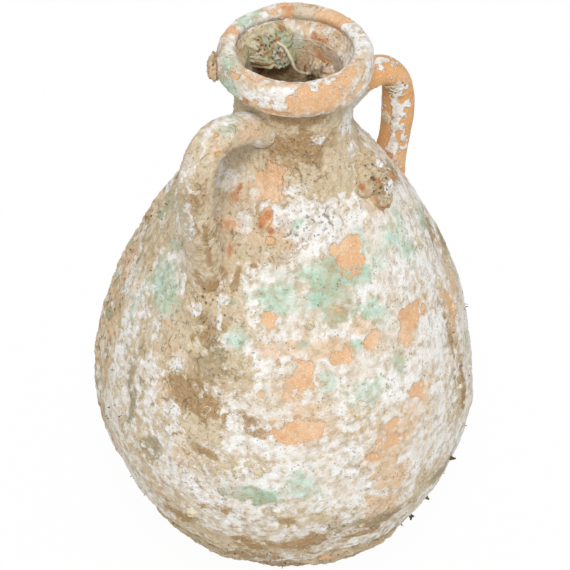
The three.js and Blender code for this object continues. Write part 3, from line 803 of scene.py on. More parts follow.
def build_neck():
    """The neck, crusted outside and worn inside: both faces are visible, the inner one in the mouth."""
    runs = np.linspace(OUTLINE.shoulder_end, OUTLINE.neck_end, 92)
    flat = turned(OUTLINE.at(runs), NECK_COLUMNS)
    outer_paint = wall_paint(flat)
    fade = soft_step(-flat[:, :1, 2], -RIM_FOOT - 1, -RIM_FOOT + 7)
    skin = moved(flat, OUTLINE.normal(runs), wall_relief(flat, outer_paint) * fade)
    inner_runs = np.linspace(OUTLINE.neck_end, OUTLINE.shoulder_end + NECK_BEVEL, 62)
    bore = turned(OUTLINE.at(inner_runs, -OUTLINE.wall(inner_runs)), NECK_COLUMNS)
    bore_cover = bore_paint(bore)
    worn = 0.5 * (layered(bore, 9, 3, 12) - 0.5) - 0.8 * layer_of(bore_cover, "pits")
    inside = moved(bore, -OUTLINE.normal(inner_runs), worn * soft_step(runs[-1] - inner_runs, 0, 4)[:, None])
    grid = np.concatenate([skin, inside])[None]
    mesh = grid_mesh("neck_wall", grid, stacked(outer_paint, bore_cover), closed_rows=True)
    show("neck_wall", mesh, "crusted_clay", ["neck"])


# The rim: azimuth, radius, height, half the width, half the height and the thickness of each mark

RIM_MARKS = {
    "clay": [
        (12, 63, 618, 18, 9, 1.1), (58, 60, 617, 7, 6, 1), (70, 60, 617, 5, 5, 0.8),
        (120, 66, 617, 5, 9, 0.95), (180, 72, 614, 6, 4, 0.95), (192, 65, 618, 10, 4, 0.7),
        (250, 74, 604, 27, 16, 1.1),
        (276, 68, 616, 13, 8, 1), (285, 74, 602, 10, 8, 0.8), (202, 75, 600, 4, 4, 0.8),
        (222, 74, 590, 14, 5, 0.9), (205, 60, 618, 12, 3, 0.8), (226, 60, 618, 12, 3, 0.7),
        (330, 70, 596, 12, 12, 0.9), (300, 66, 592, 10, 6, 0.7), (60, 74, 598, 16, 9, 0.95),
        (100, 74, 594, 9, 10, 0.9), (20, 74, 592, 12, 7, 0.8),
    ],
    "blush": [
        (255, 74, 606, 34, 18, 0.9), (225, 64, 618, 40, 6, 0.75), (285, 66, 616, 22, 12, 0.8),
        (40, 62, 618, 36, 12, 0.8), (120, 64, 618, 12, 12, 0.7), (222, 74, 592, 30, 8, 0.8),
        (330, 74, 600, 24, 14, 0.7), (196, 68, 616, 12, 8, 0.6),
    ],
    "mint": [(98, 62, 618, 14, 8, 0.8), (163, 66, 617, 12, 10, 0.7), (176, 75, 598, 14, 9, 0.8)],
    "sage": [(40, 60, 618, 12, 9, 0.62), (168, 74, 596, 14, 10, 0.8)],
    "sediment": [
        (160, 74, 590, 24, 14, 0.95), (60, 74, 586, 40, 10, 0.7), (330, 74, 586, 30, 8, 0.7),
        (192, 74, 588, 26, 9, 0.9), (215, 74, 584, 40, 5, 0.9), (170, 68, 616, 14, 12, 0.7),
    ],
    "brown": [
        (146, 74, 600, 12, 14, 0.9), (172, 74, 606, 6, 7, 0.7), (120, 57, 607, 60, 3, 0.8),
        # (200, 74, 584) and (235, 74, 581) are thin dark lines at the rim's foot: painted shadow under the rim
        (200, 74, 584, 24, 3, 0.8), (235, 74, 581, 40, 3, 0.8),
    ],
    "rust": [(58, 61, 618, 5, 4, 0.8), (192, 74, 596, 5, 4, 0.6)],
}


def rim_profile():
    """The collar's visible profile from its foot on the neck up over the bulge and into the mouth.

    The underside is a cubic Bezier curve, the bulge a quadratic one, and the lip runs through fixed points
    on a Catmull-Rom curve.
    """
    drop = HEIGHT - RIM_FOOT
    waist = HEIGHT - drop / 2
    under = bezier(
        [
            (NECK_RADIUS + SLIP, RIM_FOOT),
            (NECK_RADIUS + 6, HEIGHT - 0.9 * drop),
            (RIM_RADIUS, HEIGHT - 0.78 * drop),
            (RIM_RADIUS, waist),
        ],
        200,
    )
    bulge = bezier([(RIM_RADIUS, waist), (RIM_RADIUS, HEIGHT), (67, HEIGHT)], 200)
    lip = smooth_line(
        [(67, HEIGHT), (61, HEIGHT), (57.4, HEIGHT - 1.4), (56.2, HEIGHT - 5), (57.8, HEIGHT - 10)], 200
    )
    throat = smooth_line([(57.8, HEIGHT - 10), (54, HEIGHT - 16), (NECK_BORE, NECK_TOP + SLIP)], 100)
    return evenly(np.concatenate([under, bulge[1:], lip[1:], throat[1:]]), 136)


def build_rim():
    """The rolled rim collar: lime with crisp patches of bare clay, and a groove inside its lip."""
    profile = rim_profile()
    slopes = np.gradient(profile, axis=0)
    normals = unit(np.stack([slopes[:, 1], -slopes[:, 0]], -1))
    flat = turned(profile, 440)
    ragged = layered(flat, 9, 2, 31)
    fields = {kind: np.zeros(flat.shape[:-1]) for kind in KINDS}
    for kind, marks in RIM_MARKS.items():
        for azimuth, radius, *mark in marks:
            place = around(radius, azimuth, mark[0])
            field = patch_field(flat, ragged, [(azimuth, *mark)], lambda a, z, place=place: place)
            fields[kind] = np.maximum(fields[kind], field)
    inside = soft_step(-flat[..., 2], -HEIGHT + 8, -HEIGHT + 14) * (np.hypot(flat[..., 0], flat[..., 1]) < 59)
    bore = bore_paint(flat)
    away = soft_step(-(flat @ around(1, 232, 0)), 0, 40)
    flecks = 0.72 * soft_step(layered(flat, 11, 3, 33), 0.62, 0.7) * away
    fields["clay"] = np.maximum(fields["clay"], flecks)
    paint = paint_of(fields)
    paint = {label: np.where(inside[..., None] > 0.5, bore[label], paint[label]) for label in paint}
    # Painted shade: a dark line along the groove inside the lip, and in the last layer, darker where the rim's 4
    # mm relief waves are low
    groove = np.exp(-(((flat[..., 2] - (HEIGHT - 9.5)) / 1.5) ** 2)) * inside
    paint["paint_last"][..., 1] = np.maximum(0.9 * groove, 0.4 * soft_step(-cells(flat, 7, 4), -0.22, -0.12))
    paint["paint_last"][..., 2] = soft_step(-layered(flat, 4, 2, 35), -0.5, -0.3)
    crusted = 1 - soft_step(layer_of(paint, "clay"), 0.4, 0.6)
    waves = 2 * layered(flat, 13, 2, 34) + layered(flat, 4, 2, 35) - 1.5
    rough = soft_step(np.maximum(layer_of(paint, "sediment"), layer_of(paint, "brown")), 0.35, 0.85)
    grains = domes(flat, 6, 37) + 0.5 * domes(flat, 3.2, 38) - 0.4
    dent = -2.5 * np.exp(-(((flat @ around(1, 160, 0) - 76) / 20) ** 2))
    distance = (
        dent
        + relief("wobble") * 2.4 * (layered(flat, 70, 2, 36) - 0.5)
        + (crusted - 1) * 0.8 * relief("bare_depth")
        + crusted * (0.8 * relief("crust") * waves + rough * (1 - inside) * relief("grit") * grains)
        - 1.1 * layer_of(paint, "pits")
    )
    arc = np.linspace(0, 1, len(profile))
    fade = soft_step(arc, 0, 0.04) * soft_step(-arc, -1, -0.95)
    skin = moved(flat, normals, distance * fade[:, None])
    hidden = np.linspace((NECK_BORE + 1, NECK_TOP + SLIP), (NECK_RADIUS + SLIP, NECK_TOP + SLIP), 5)
    seat = np.linspace((NECK_RADIUS + SLIP, NECK_TOP - 3), (NECK_RADIUS + SLIP, RIM_FOOT + 1), 5)
    back = turned(np.concatenate([hidden, seat]), 440)
    grid = np.concatenate([skin, back])[None]
    mesh = grid_mesh("rim_roll", grid, stacked(paint, no_paint(back)), closed_rows=True)
    show("rim_roll", mesh, "crusted_clay", ["rim_collar"])


# The handles

HANDLE_WIDTH = 35
HANDLE_DEPTH = 28
HANDLES = {
    "left": {
        "azimuth": 190, "reach": 82, "arm": 44, "arm_rise": 28, "crown": 34, "elbow": 77, "straight": 30,
        "root": 95, "lean": 11,
    },
    "right": {
        "azimuth": -10, "reach": 62, "arm": 50, "arm_rise": 21, "crown": 28, "elbow": 80, "straight": 27,
        "root": 70, "lean": 4,
    },
}
HANDLE_ROWS = 250
HANDLE_COLUMNS = 104

# Marks on the handles: share of the length, angle round the coil with -90 on the outer face, half the
# length in millimetres, half the angle, and the thickness
HANDLE_MARKS = {
    "left": {
        "clay": [(0.285, -50, 4, 22, 0.6), (0.31, -24, 3, 12, 0.62), (0.27, -75, 3, 10, 0.62)],
        "blush": [(0.28, -52, 12, 50, 0.85), (0.15, -30, 22, 60, 0.75), (0.5, 80, 40, 60, 0.6)],
        "sediment": [(0.5, -90, 260, 200, 0.85)],
        "brown": [
            # (0.93, -40) here and the pits at (0.97, -60) darken the handle's foot: dark cracks and painted
            # shade where it meets the wall
            (0.5, 90, 120, 50, 0.85), (0.3, 70, 40, 50, 0.9), (0.93, -40, 14, 60, 0.8),
            (0.7, -30, 60, 12, 0.7), (0.55, -80, 60, 44, 0.62),
        ],
        "mint": [(0.25, -60, 12, 30, 0.5), (0.15, -100, 9, 30, 0.5)],
        "sage": [(0.6, -140, 16, 40, 0.6)],
        "rust": [(0.29, -60, 2, 10, 0.6)],
        "lime": [
            (0.62, -90, 40, 24, 0.5), (0.24, -80, 24, 50, 0.9), (0.12, -100, 22, 50, 0.9),
            (0.4, -100, 20, 30, 0.6),
        ],
        "pits": [(0.97, -60, 12, 120, 1), (0.6, 0, 60, 20, 0.6), (0.3, 100, 60, 60, 0.7)],
        "crack": [(0.5, -40, 200, 40, 0.8), (0.5, 90, 200, 90, 1)],
    },
    "right": {
        "clay": [(0.5, 0, 300, 400, 1.2)],
        "sediment": [(0.97, 0, 18, 400, 1), (0.02, 0, 12, 400, 0.9), (0.36, 130, 12, 40, 0.55)],
        "brown": [(0.36, 135, 8, 26, 0.62), (0.98, 100, 10, 120, 0.6)],
        "mint": [(0.88, 165, 5, 16, 0.95)],
        "rust": [(0.83, 130, 5, 20, 0.8), (0.86, 90, 5, 20, 0.7)],
        "lime": [
            (0.53, 138, 17, 34, 1.2), (0.63, 135, 11, 20, 1.1), (0.77, 136, 20, 30, 1.2),
            (0.85, 112, 8, 26, 1), (0.40, 140, 13, 36, 1), (0.07, 0, 15, 400, 0.9), (0.17, 60, 14, 60, 0.8),
            (0.2, -90, 14, 40, 0.8), (0.45, -60, 10, 12, 0.8), (0.7, -80, 14, 14, 0.8), (0.6, -20, 8, 10, 0.8),
            (0.9, -100, 8, 30, 0.9),
        ],
        "pits": [(0.37, 130, 12, 40, 1)],
    },
}


def handle_path(spec):
    """The middle of a handle's coil: one cubic Bezier curve from the neck out to the elbow, and one from
    the elbow down to the shoulder, in the upright plane at its azimuth."""
    reach = NECK_RADIUS + spec["reach"]
    arm = NECK_TOP - spec["arm"]
    elbow = NECK_TOP - spec["elbow"]
    root = SHOULDER_HEIGHT - spec["root"]
    root_radius = OUTLINE.at(OUTLINE.run_at(root))[0]
    over = bezier(
        [
            (NECK_RADIUS - 6, arm),
            (NECK_RADIUS + 0.45 * spec["reach"], arm + spec["arm_rise"]),
            (reach, arm + spec["crown"]),
            (reach, elbow),
        ],
        800,
    )
    down = bezier(
        [
            (reach, elbow),
            (reach, elbow - spec["straight"]),
            (reach - spec["lean"], (elbow + root) / 2 - 6),
            (root_radius - 14, root - 6),
        ],
        800,
    )
    flat = np.concatenate([over, down[1:]])
    return around(flat[:, 0], spec["azimuth"], flat[:, 1]), len(over) - 1


def handle_frame(spec, count):
    """Even places on a handle's middle with the sideways direction and the one that points inwards."""
    path = evenly(handle_path(spec)[0], count)
    along = unit(np.gradient(path, axis=0))
    side = around(1, spec["azimuth"] + 90, 0.0)
    inward = np.cross(side, along)
    return path, side, inward


def keep_shallow(points, depth):
    """Points that lie deeper under the outer wall than a depth, moved out to it along the radius."""
    run = OUTLINE.run_at(points[..., 2])
    least = OUTLINE.at(run)[..., 0] - depth / np.maximum(OUTLINE.normal(run)[..., 0], 0.5)
    radius = np.hypot(points[..., 0], points[..., 1])
    scale = np.maximum(radius, least) / radius
    return points * np.stack([scale, scale, np.ones_like(scale)], -1)


def handle_paint(side, share, angle, reach, ragged):
    """Fields on a handle from its marks. The distance is the root of (along / half length)^2 +
    (turn / half angle)^2, where along is in millimetres and turn is the shortest way round."""
    fields = {}
    for kind, marks in HANDLE_MARKS[side].items():
        field = np.zeros(ragged.shape)
        for place, turn, half_length, half_angle, strength in marks:
            along = (share - place) * reach / half_length
            across = ((angle - turn + 180) % 360 - 180) / half_angle
            field = np.maximum(field, cover(np.sqrt(along**2 + across**2), ragged, strength))
        fields[kind] = field
    return fields


def build_handle(side):
    """One handle: a coil of oval section, |x / half width|^2.3 + |y / half depth|^2.3 = 1, flared at both
    ends, with finger-drawn ridges on its outer face and the crust's relief."""
    spec = HANDLES[side]
    path, sideways, inward = handle_frame(spec, HANDLE_ROWS)
    reach = np.linalg.norm(np.diff(path, axis=0), axis=1).sum()
    share = np.linspace(0, 1, HANDLE_ROWS)[:, None]
    angle = np.linspace(0, 2 * np.pi, HANDLE_COLUMNS, endpoint=False)
    flare = 1 + 0.2 * np.exp(-share * reach / 12) + 0.24 * np.exp(-(1 - share) * reach / 16)
    across = np.sign(np.cos(angle)) * np.abs(np.cos(angle)) ** (2 / 2.3)
    through = np.sign(np.sin(angle)) * np.abs(np.sin(angle)) ** (2 / 2.3)
    wide = HANDLE_WIDTH / 2 * across * flare
    deep = HANDLE_DEPTH / 2 * through * flare
    beside = across[None, :, None] / HANDLE_WIDTH * sideways
    outward = unit(beside + through[None, :, None] / HANDLE_DEPTH * inward[:, None])
    flat = path[:, None] + wide[..., None] * sideways + deep[..., None] * inward[:, None]
    degrees = np.broadcast_to(angle / DEGREE, flat.shape[:2])
    ragged = layered(flat, 9, 2, 51)
    fields = handle_paint(side, share, degrees, reach, ragged)
    if side == "left":
        fields["brown"] = np.maximum(fields["brown"], 0.6 * soft_step(layered(flat, 20, 3, 53), 0.56, 0.7))
    else:
        veil = 0.7 * soft_step(layered(flat, 15, 3, 54), 0.58, 0.68)
        fields["clay"] = fields["clay"] - np.maximum(fields["lime"], veil)
    pitted = 0.15 + fields["pits"]
    fields["pits"] = pitted * soft_step(-cells(flat, 6, 5), -0.3, -0.16)
    fields["dirt_and_valley_shade"] = soft_step(-layered(flat, 5, 2, 50), -0.5, -0.3)
    paint = paint_of(fields)
    ridges = np.sin(9 * angle + 2 * noise(flat, 40, 55) * 3) * np.clip(-through, 0, 1) ** 0.5
    crusted = 1 - soft_step(fields["clay"], 0.4, 0.6)
    rough = soft_step(np.maximum(fields["sediment"], fields["brown"]), 0.35, 0.85)
    grains = domes(flat, 5.5, 56) + 0.5 * domes(flat, 3, 57) - 0.4
    ends = soft_step(share, 0, 0.08) * soft_step(1 - share, 0, 0.08)
    distance = (
        relief("wobble") * 2.4 * (layered(flat, 45, 2, 58) - 0.5)
        + 0.45 * ridges * ends * (1.0 if side == "left" else 0.5)
        + (crusted - 1) * 0.9 * relief("bare_depth")
        + crusted * 0.7 * relief("crust") * (2 * layered(flat, 12, 2, 59) - 1)
        + 0.6 * rough * relief("grit") * grains
        - 1.2 * fields["pits"]
    )
    grid = keep_shallow(flat + outward * distance[..., None], 7)[None]
    paint = {label: values[None] for label, values in paint.items()}
    mesh = grid_mesh(f"{side}_handle_coil", grid, paint)
    show(f"{side}_handle_coil", mesh, "bare_clay", [f"handle_{side}"])


def build_handles():
    """Both handles."""
    for side in HANDLES:
        build_handle(side)


# Growths outside and in the mouth


def skin_polar(patch, rings, spokes):
    """A patch's polar grid: share of the way out (rings, 1), and the places across and along it from -1
    to 1, whose edge waves by 1 + 0.13 sin(n t + n) + 0.07 cos((n + 3) t) and a finer ripple."""
    share = np.linspace(0.02, 1, rings)[:, None]
    turn = np.linspace(0, 2 * np.pi, spokes, endpoint=False)
    lobes = patch["lobes"]
    edge = 1 + 0.13 * np.sin(lobes * turn + lobes) + 0.07 * np.cos((lobes + 3) * turn)
    edge = edge + 0.02 * np.sin(17 * turn) + 0.015 * np.sin(31 * turn + 1)
    return share, share * edge * np.cos(turn), share * edge * np.sin(turn)


def swell_of(patch, share, across, along):
    """A patch's own thickness, as the part's source has it: (1 - share^3)^0.5 (1 + 0.3 lump) / 1.3."""
    waves = lump(3 * across, 3 * along, patch["lobes"])
    return patch["thickness"] * np.sqrt(1 - share**3) * (1 + 0.3 * waves) / 1.3


def mottled(points, size, seed, low, high, strength):
    """A field of patches at random, of a size and a thickness."""
    return strength * soft_step(layered(points, size, 3, seed), low, high)


def growth_paint(points, creases, tone):
    """What covers a growth: the mix of kinds that its tone names, with grime and painted shade in its creases
    and painted shade between its small casts.
    """
    # Painted shade: darker between the 5.5 mm casts, the same domes that casts() raises
    dirt_and_valley_shade = soft_step(-domes(points, 5.5, 72), -0.5, 0)
    fields = {"pits": creases, "dirt_and_valley_shade": dirt_and_valley_shade, "crack": 0.6 + 0 * creases}
    for kind, (low, strength) in tone.items():
        fields[kind] = mottled(points, 18, 60 + 3 * KINDS.index(kind), low, low + 0.1, strength)
    return paint_of(fields)


GROWTHS = {
    "flank": {
        "azimuth": 122, "height": 262, "half_angle": 38, "half_rise": 205, "thickness": 8, "lobes": 5,
        "rings": 150, "spokes": 420, "slot": "sediment", "lumpy": 1.0,
        "tone": {"blush": (0.5, 0.8), "brown": (0.58, 0.6), "sage": (0.62, 0.7), "lime": (0.54, 0.85)},
    },
    "neck": {
        "azimuth": -126, "height": 500, "half_angle": 32, "half_rise": 62, "thickness": 4, "lobes": 4,
        "rings": 80, "spokes": 260, "slot": "sediment", "lumpy": 0.3, "tone": None,
    },
    "root_right": {
        "azimuth": -60, "height": 486, "half_angle": 20, "half_rise": 31, "thickness": 12, "lobes": 5,
        "rings": 50, "spokes": 160, "slot": "brown_crust", "lumpy": 1.0,
        "tone": {"sediment": (0.3, 0.9), "rust": (0.6, 0.9), "lime": (0.62, 0.8)},
    },
    "root_left": {
        "azimuth": 196, "height": 392, "half_angle": 13, "half_rise": 22, "thickness": 5, "lobes": 4,
        "rings": 30, "spokes": 120, "slot": "brown_crust", "lumpy": 0.7,
        "tone": {"sediment": (0.3, 0.9), "lime": (0.56, 0.9)},
    },
    "base_left": {
        "azimuth": 188, "height": 66, "half_angle": 28, "half_rise": 42, "thickness": 4, "lobes": 6,
        "rings": 54, "spokes": 240, "slot": "brown_crust", "lumpy": 0.6,
        "tone": {"sediment": (0.36, 0.95), "clay": (0.58, 0.7), "sage": (0.6, 0.6)},
    },
    "base_right": {
        "azimuth": -102, "height": 74, "half_angle": 22, "half_rise": 42, "thickness": 4, "lobes": 5,
        "rings": 54, "spokes": 220, "slot": "brown_crust", "lumpy": 0.6,
        "tone": {"sediment": (0.36, 0.95), "clay": (0.58, 0.7), "sage": (0.6, 0.6)},
    },
}
EDGE_TUCK = 1.5
SKIN_DEPTH = 4


def casts(points, lumpy):
    """The relief of crowded worm casts, and a mask of the creases and holes between them that the paint darkens:
    painted shade, with grime in the holes.

    Domes of 11, 5.5 and 3 mm are added, and the creases are where the larger domes are low.
    """
    large = domes(points, 11, 71)
    small = domes(points, 5.5, 72)
    height = 0.55 * large + 0.35 * small + 0.16 * domes(points, 3, 73)
    holes = soft_step(-cells(points, 7, 74), -0.26, -0.14)
    creases = np.clip(0.55 * soft_step(-height, -0.24, -0.04) + 0.9 * holes, 0, 1) * (0.4 + 0.6 * lumpy)
    return relief("lumps") * lumpy * (height - 0.35 * holes), creases


def build_growth(label):
    """One growth on the outer wall, as a closed skin on a polar grid.

    Its top lies at wall relief - tuck + (body thickness + casts + tuck)(1 - share^6)^0.5 from the even
    outline, so that its edge sinks under the wall's own skin, and its underside 4 mm inside the clay.
    A growth without a tone of its own carries on the wall's coverings, and lime where there are none.
    """
    patch = GROWTHS[label]
    share, across, along = skin_polar(patch, patch["rings"], patch["spokes"])
    middle = OUTLINE.run_at(patch["height"])
    runs = np.maximum(middle + along * patch["half_rise"], 16)
    degrees = patch["azimuth"] + across * patch["half_angle"]
    point, normal = OUTLINE.at(runs), OUTLINE.normal(runs)
    flat = around(point[..., 0], degrees, point[..., 1])
    outward = around(normal[..., 0], degrees, normal[..., 1])
    on_clay = wall_paint(flat)
    bumps, creases = casts(flat, patch["lumpy"])
    grown = patch.get("body", 0.7) * swell_of(patch, share, across, along) + bumps + EDGE_TUCK
    distance = wall_relief(flat, on_clay) - EDGE_TUCK + grown * np.sqrt(1 - share**6)
    top = flat + outward * distance[..., None]
    under = (flat - outward * SKIN_DEPTH)[::-12]
    if patch["tone"]:
        paint = growth_paint(flat, creases, patch["tone"])
    else:
        paint = {layer: values.copy() for layer, values in on_clay.items()}
        bare = 1.1 - 1.3 * layer_of(on_clay, "sediment")
        paint["paint_last"][..., 0] = np.maximum(paint["paint_last"][..., 0], bare)
        # Painted shade in the creases between the casts, laid as pits
        paint["paint_last"][..., 1] = np.maximum(paint["paint_last"][..., 1], 0.5 * creases)
    edge = soft_step(share, 0.8, 1)
    for layer in paint:
        paint[layer] = paint[layer] * (1 - edge[..., None]) + on_clay[layer] * edge[..., None]
    grid = np.concatenate([top, under])[None]
    mesh = grid_mesh(f"{label}_crust", grid, stacked(paint, no_paint(under)))
    show(f"{label}_crust", mesh, patch["slot"], [f"growth_{label}"])


def build_growths():
    """The growths on the outer wall."""
    for label in GROWTHS:
        build_growth(label)


RIM_LUMP = {"azimuth": 141, "drop": 26, "width": 26, "depth": 14, "rise": 30}


def build_rim_lump():
    """A lump of shell and worm casts on the rim's outside: an ellipsoid pushed out by the part's waves and
    by casts."""
    latitude = np.linspace(-88, 88, 70)[:, None] * DEGREE
    turn = np.linspace(0, 2 * np.pi, 130, endpoint=False)
    level = np.cos(latitude)
    ball = np.stack(
        np.broadcast_arrays(level * np.cos(turn), level * np.sin(turn), np.sin(latitude)), axis=-1
    )
    waves = 1 + 0.12 * lump(3 * ball[..., 0] + ball[..., 2], 3 * ball[..., 1] - ball[..., 2], 3)
    halves = np.array([RIM_LUMP["depth"], RIM_LUMP["width"], RIM_LUMP["rise"]]) / 2
    local = ball * waves[..., None] * halves
    bumps, creases = casts(local + 400, 0.8)
    local = local + unit(ball / halves) * (bumps - 1.6)[..., None]
    radial, beside = around(1, RIM_LUMP["azimuth"], 0), around(1, RIM_LUMP["azimuth"] + 90, 0)
    middle = around(RIM_RADIUS, RIM_LUMP["azimuth"], HEIGHT - RIM_LUMP["drop"])
    grid = middle + local[..., :1] * radial + local[..., 1:2] * beside + local[..., 2:] * (0, 0, 1)
    tone = {"brown": (0.42, 0.8), "blush": (0.55, 0.8), "sage": (0.6, 0.7), "lime": (0.6, 0.8)}
    paint = growth_paint(grid, creases, tone)
    mesh = grid_mesh("rim_crust", grid[None], stacked(paint))
    show("rim_crust", mesh, "sediment", ["growth_rim"])


SHELF = {"azimuth": 82, "half_angle": 33, "drop": 34, "half_rise": 24, "thickness": 17, "lobes": 4}
BED = {"azimuth": 13, "half_angle": 23, "drop": 62, "half_rise": 20, "thickness": 9, "lobes": 3}


def build_mouth_shelf():
    """The plate of green growth on the neck's bore, a skin that stands out most near its lower lip.

    Its distance from the bore is thickness (1 - share^4)^0.5 times a ramp from 0.3 at the top edge to
    1.05 at the lip and back to 0.25 under it, less holes where the cells' distance is small, plus a rib
    3.4 e^(-((across - bow) / 0.07)^2) that runs down to the lip.
    """
    share, across, along = skin_polar(SHELF, 84, 260)
    degrees = SHELF["azimuth"] + across * SHELF["half_angle"]
    height = HEIGHT - SHELF["drop"] - along * SHELF["half_rise"]
    flat = around(NECK_BORE, degrees, height)
    inward = -around(1, degrees, 0.0)
    lip = 0.42 - 0.2 * across
    ramp = 0.3 + 0.75 * soft_step(along, -1, lip) - 0.8 * soft_step(along, lip + 0.02, lip + 0.26)
    porous = mottled(flat, 16, 88, 0.42, 0.54, 1.0)
    holes = soft_step(-cells(flat, 3.4, 81), -0.42, -0.24) * soft_step(lip - along, 0, 0.12) * porous
    ribs = domes(flat, 6, 82) + 0.5 * domes(flat, 3, 83)
    plate = SHELF["thickness"] * np.sqrt(1 - share**4) * ramp * (1 + 0.12 * lump(3 * across, 3 * along, 4))
    bow = -0.15 - 0.28 * along - 0.25 * along**2
    round_off = np.sqrt(1 - share**4)
    rib = np.exp(-(((across - bow) / 0.07) ** 2)) * soft_step(lip + 0.1 - along, 0, 0.15) * round_off
    distance = plate - 1.8 * holes * (share < 0.9) + 1.1 * (ribs - 0.5) * round_off + 3.4 * rib
    top = flat + inward * distance[..., None]
    under = flat[::-10] - inward[::-10] * 7
    fields = {kind: np.zeros(flat.shape[:-1]) for kind in KINDS}
    at_lip = np.exp(-(((along - lip) / 0.1) ** 2))
    green = mottled(flat, 14, 84, 0.56, 0.66, 0.7)
    fields["mint"] = np.maximum.reduce([1.1 * at_lip * soft_step(-across, -0.6, 0.1), 0.75 * rib, green])
    fields["rust"] = mottled(flat, 10, 85, 0.6, 0.66, 0.8) * soft_step(-along, -0.3, 0)
    # Painted shadow: the bore under the plate's overhanging lip is darkened as brown growth and as pits
    below = soft_step(along, lip + 0.05, lip + 0.2)
    fields["brown"] = np.maximum.reduce([below, 0.7 * holes, 0.62 * porous])
    fields["sediment"] = mottled(flat, 12, 87, 0.5, 0.6, 0.8)
    fields["pits"] = np.clip(0.8 * holes + soft_step(along, lip + 0.08, lip + 0.3), 0, 1)
    grid = np.concatenate([top, under])[None]
    mesh = grid_mesh("mouth_plate", grid, stacked(paint_of(fields), no_paint(under)))
    show("mouth_plate", mesh, "green_growth", ["growth_mouth_shelf"])


def build_mouth_bed():
    """The low bed of sediment and casts on the bore that the worm tubes stand in."""
    share, across, along = skin_polar(BED, 46, 150)
    degrees = BED["azimuth"] + across * BED["half_angle"]
    height = HEIGHT - BED["drop"] - along * BED["half_rise"]
    flat = around(NECK_BORE, degrees, height)
    inward = -around(1, degrees, 0.0)
    bumps, creases = casts(flat, 0.7)
    distance = (swell_of(BED, share, across, along) + bumps) * np.sqrt(1 - share**6) - 0.6
    top = flat + inward * distance[..., None]
    under = flat[::-10] - inward[::-10] * 7
    tone = {"brown": (0.52, 0.8), "blush": (0.5, 0.8), "lime": (0.56, 0.8)}
    grid = np.concatenate([top, under])[None]
    mesh = grid_mesh("mouth_bed", grid, stacked(growth_paint(flat, creases, tone), no_paint(under)))
    show("mouth_bed", mesh, "sediment", ["growth_mouth_bed"])


# Worm tubes, barnacles, shell and weed


def open_ends(grids, paths):
    """Tubes with a hollow at their last end: the last ring again, drawn in by 0.72, then a narrower ring
    three and then five steps back down the tube."""
    last = grids[:, -1:]
    middle = paths[:, -1:, None]
    rings = [middle + (last - middle) * 0.72]
    for back, narrow in ((3, 0.62), (5, 0.3)):
        inner = paths[:, -1 - back : len(paths[0]) - back, None]
        rings.append(inner + (grids[:, -1 - back : grids.shape[1] - back] - inner) * narrow)
    return np.concatenate([grids, *rings], axis=1)


# Worm tubes in the mouth: distance in from the bore, azimuth, and drop from the rim's top
WORM_TUBES = {
    "long": [(8, 76, 22), (16, 68, 24), (24, 57, 33), (25, 46, 44), (16, 34, 54), (4, 24, 60)],
    "short": [(4, 20, 61), (12, 18, 54), (17, 15, 45), (16, 10, 36)],
    "bent": [(4, 4, 62), (12, 6, 52), (15, 3, 43), (13, -6, 35)],
}


def build_worm_tubes():
    """The three worm tubes in the mouth: tubes on smooth curves, with growth rings and an open end."""
    for label, points in WORM_TUBES.items():
        inset, azimuth, drop = np.array(points).T
        path = evenly(smooth_line(around(NECK_BORE - inset, azimuth, HEIGHT - drop), 400), 120)
        share = np.linspace(0, 1, 120)
        radius = 1.7 * (0.86 + 0.14 * share) * (1 + 0.06 * np.sin(90 * share))
        radius = radius + 0.25 * (layered(path, 4, 2, 91) - 0.5)
        grid = open_ends(tubes(path[None], radius, 16), path[None])
        mesh = grid_mesh(f"mouth_tube_{label}", grid)
        show(f"mouth_tube_{label}", mesh, "lime", [f"worm_tube_{label}"])


# Barnacles: azimuth, height, radius and rise
BARNACLES = {
    "low": (200, 160, 5.5, 4),
    "front": (222, 240, 4.5, 3.5),
    "side": (-52, 330, 4, 3),
    "shoulder": (238, 392, 5, 4),
    "back": (48, 300, 6, 4.5),
}
# A barnacle's profile from its buried foot to the floor of its crater, in shares of its radius and rise
CONE_PROFILE = [
    (1.16, -0.7), (1.14, -0.3), (1.06, 0), (0.93, 0.3), (0.8, 0.62), (0.68, 0.9), (0.58, 1.04), (0.5, 1.02),
    (0.42, 0.86), (0.35, 0.6), (0.22, 0.45), (0.08, 0.42),
]


def cones(middles, normals, radii, rises, seed, columns):
    """Barnacles: each profile point is turned about the wall's normal, with six plates that scallop the
    radius by 1 + 0.07 cos(6 t) and notch the top."""
    profile = np.array(CONE_PROFILE)
    turn = np.linspace(0, 2 * np.pi, columns, endpoint=False)
    across = unit(np.cross(normals, (0.3, 0.2, 0.9)))
    beside = np.cross(normals, across)
    phase = np.random.default_rng(seed).uniform(0, 6, len(middles))[:, None, None]
    plates = 1 + 0.07 * np.cos(6 * turn + phase) + 0.04 * np.sin(11 * turn + 2 * phase)
    radius = radii[:, None, None] * profile[:, 0, None] * plates
    notch = np.clip(profile[:, 1, None], 0, 1) * 0.14 * np.cos(3 * turn + phase)
    height = rises[:, None, None] * (profile[:, 1, None] + notch)
    flat = radius[..., None] * (
        across[:, None, None] * np.cos(turn)[:, None] + beside[:, None, None] * np.sin(turn)[:, None]
    )
    return middles[:, None, None] + flat + height[..., None] * normals[:, None, None]


def skin_places(azimuths, heights):
    """Places on the crusted skin itself, and the outward normals of the even wall there."""
    flat, normal = on_wall(azimuths, heights)
    return flat + normal * wall_relief(flat, wall_paint(flat))[..., None], normal


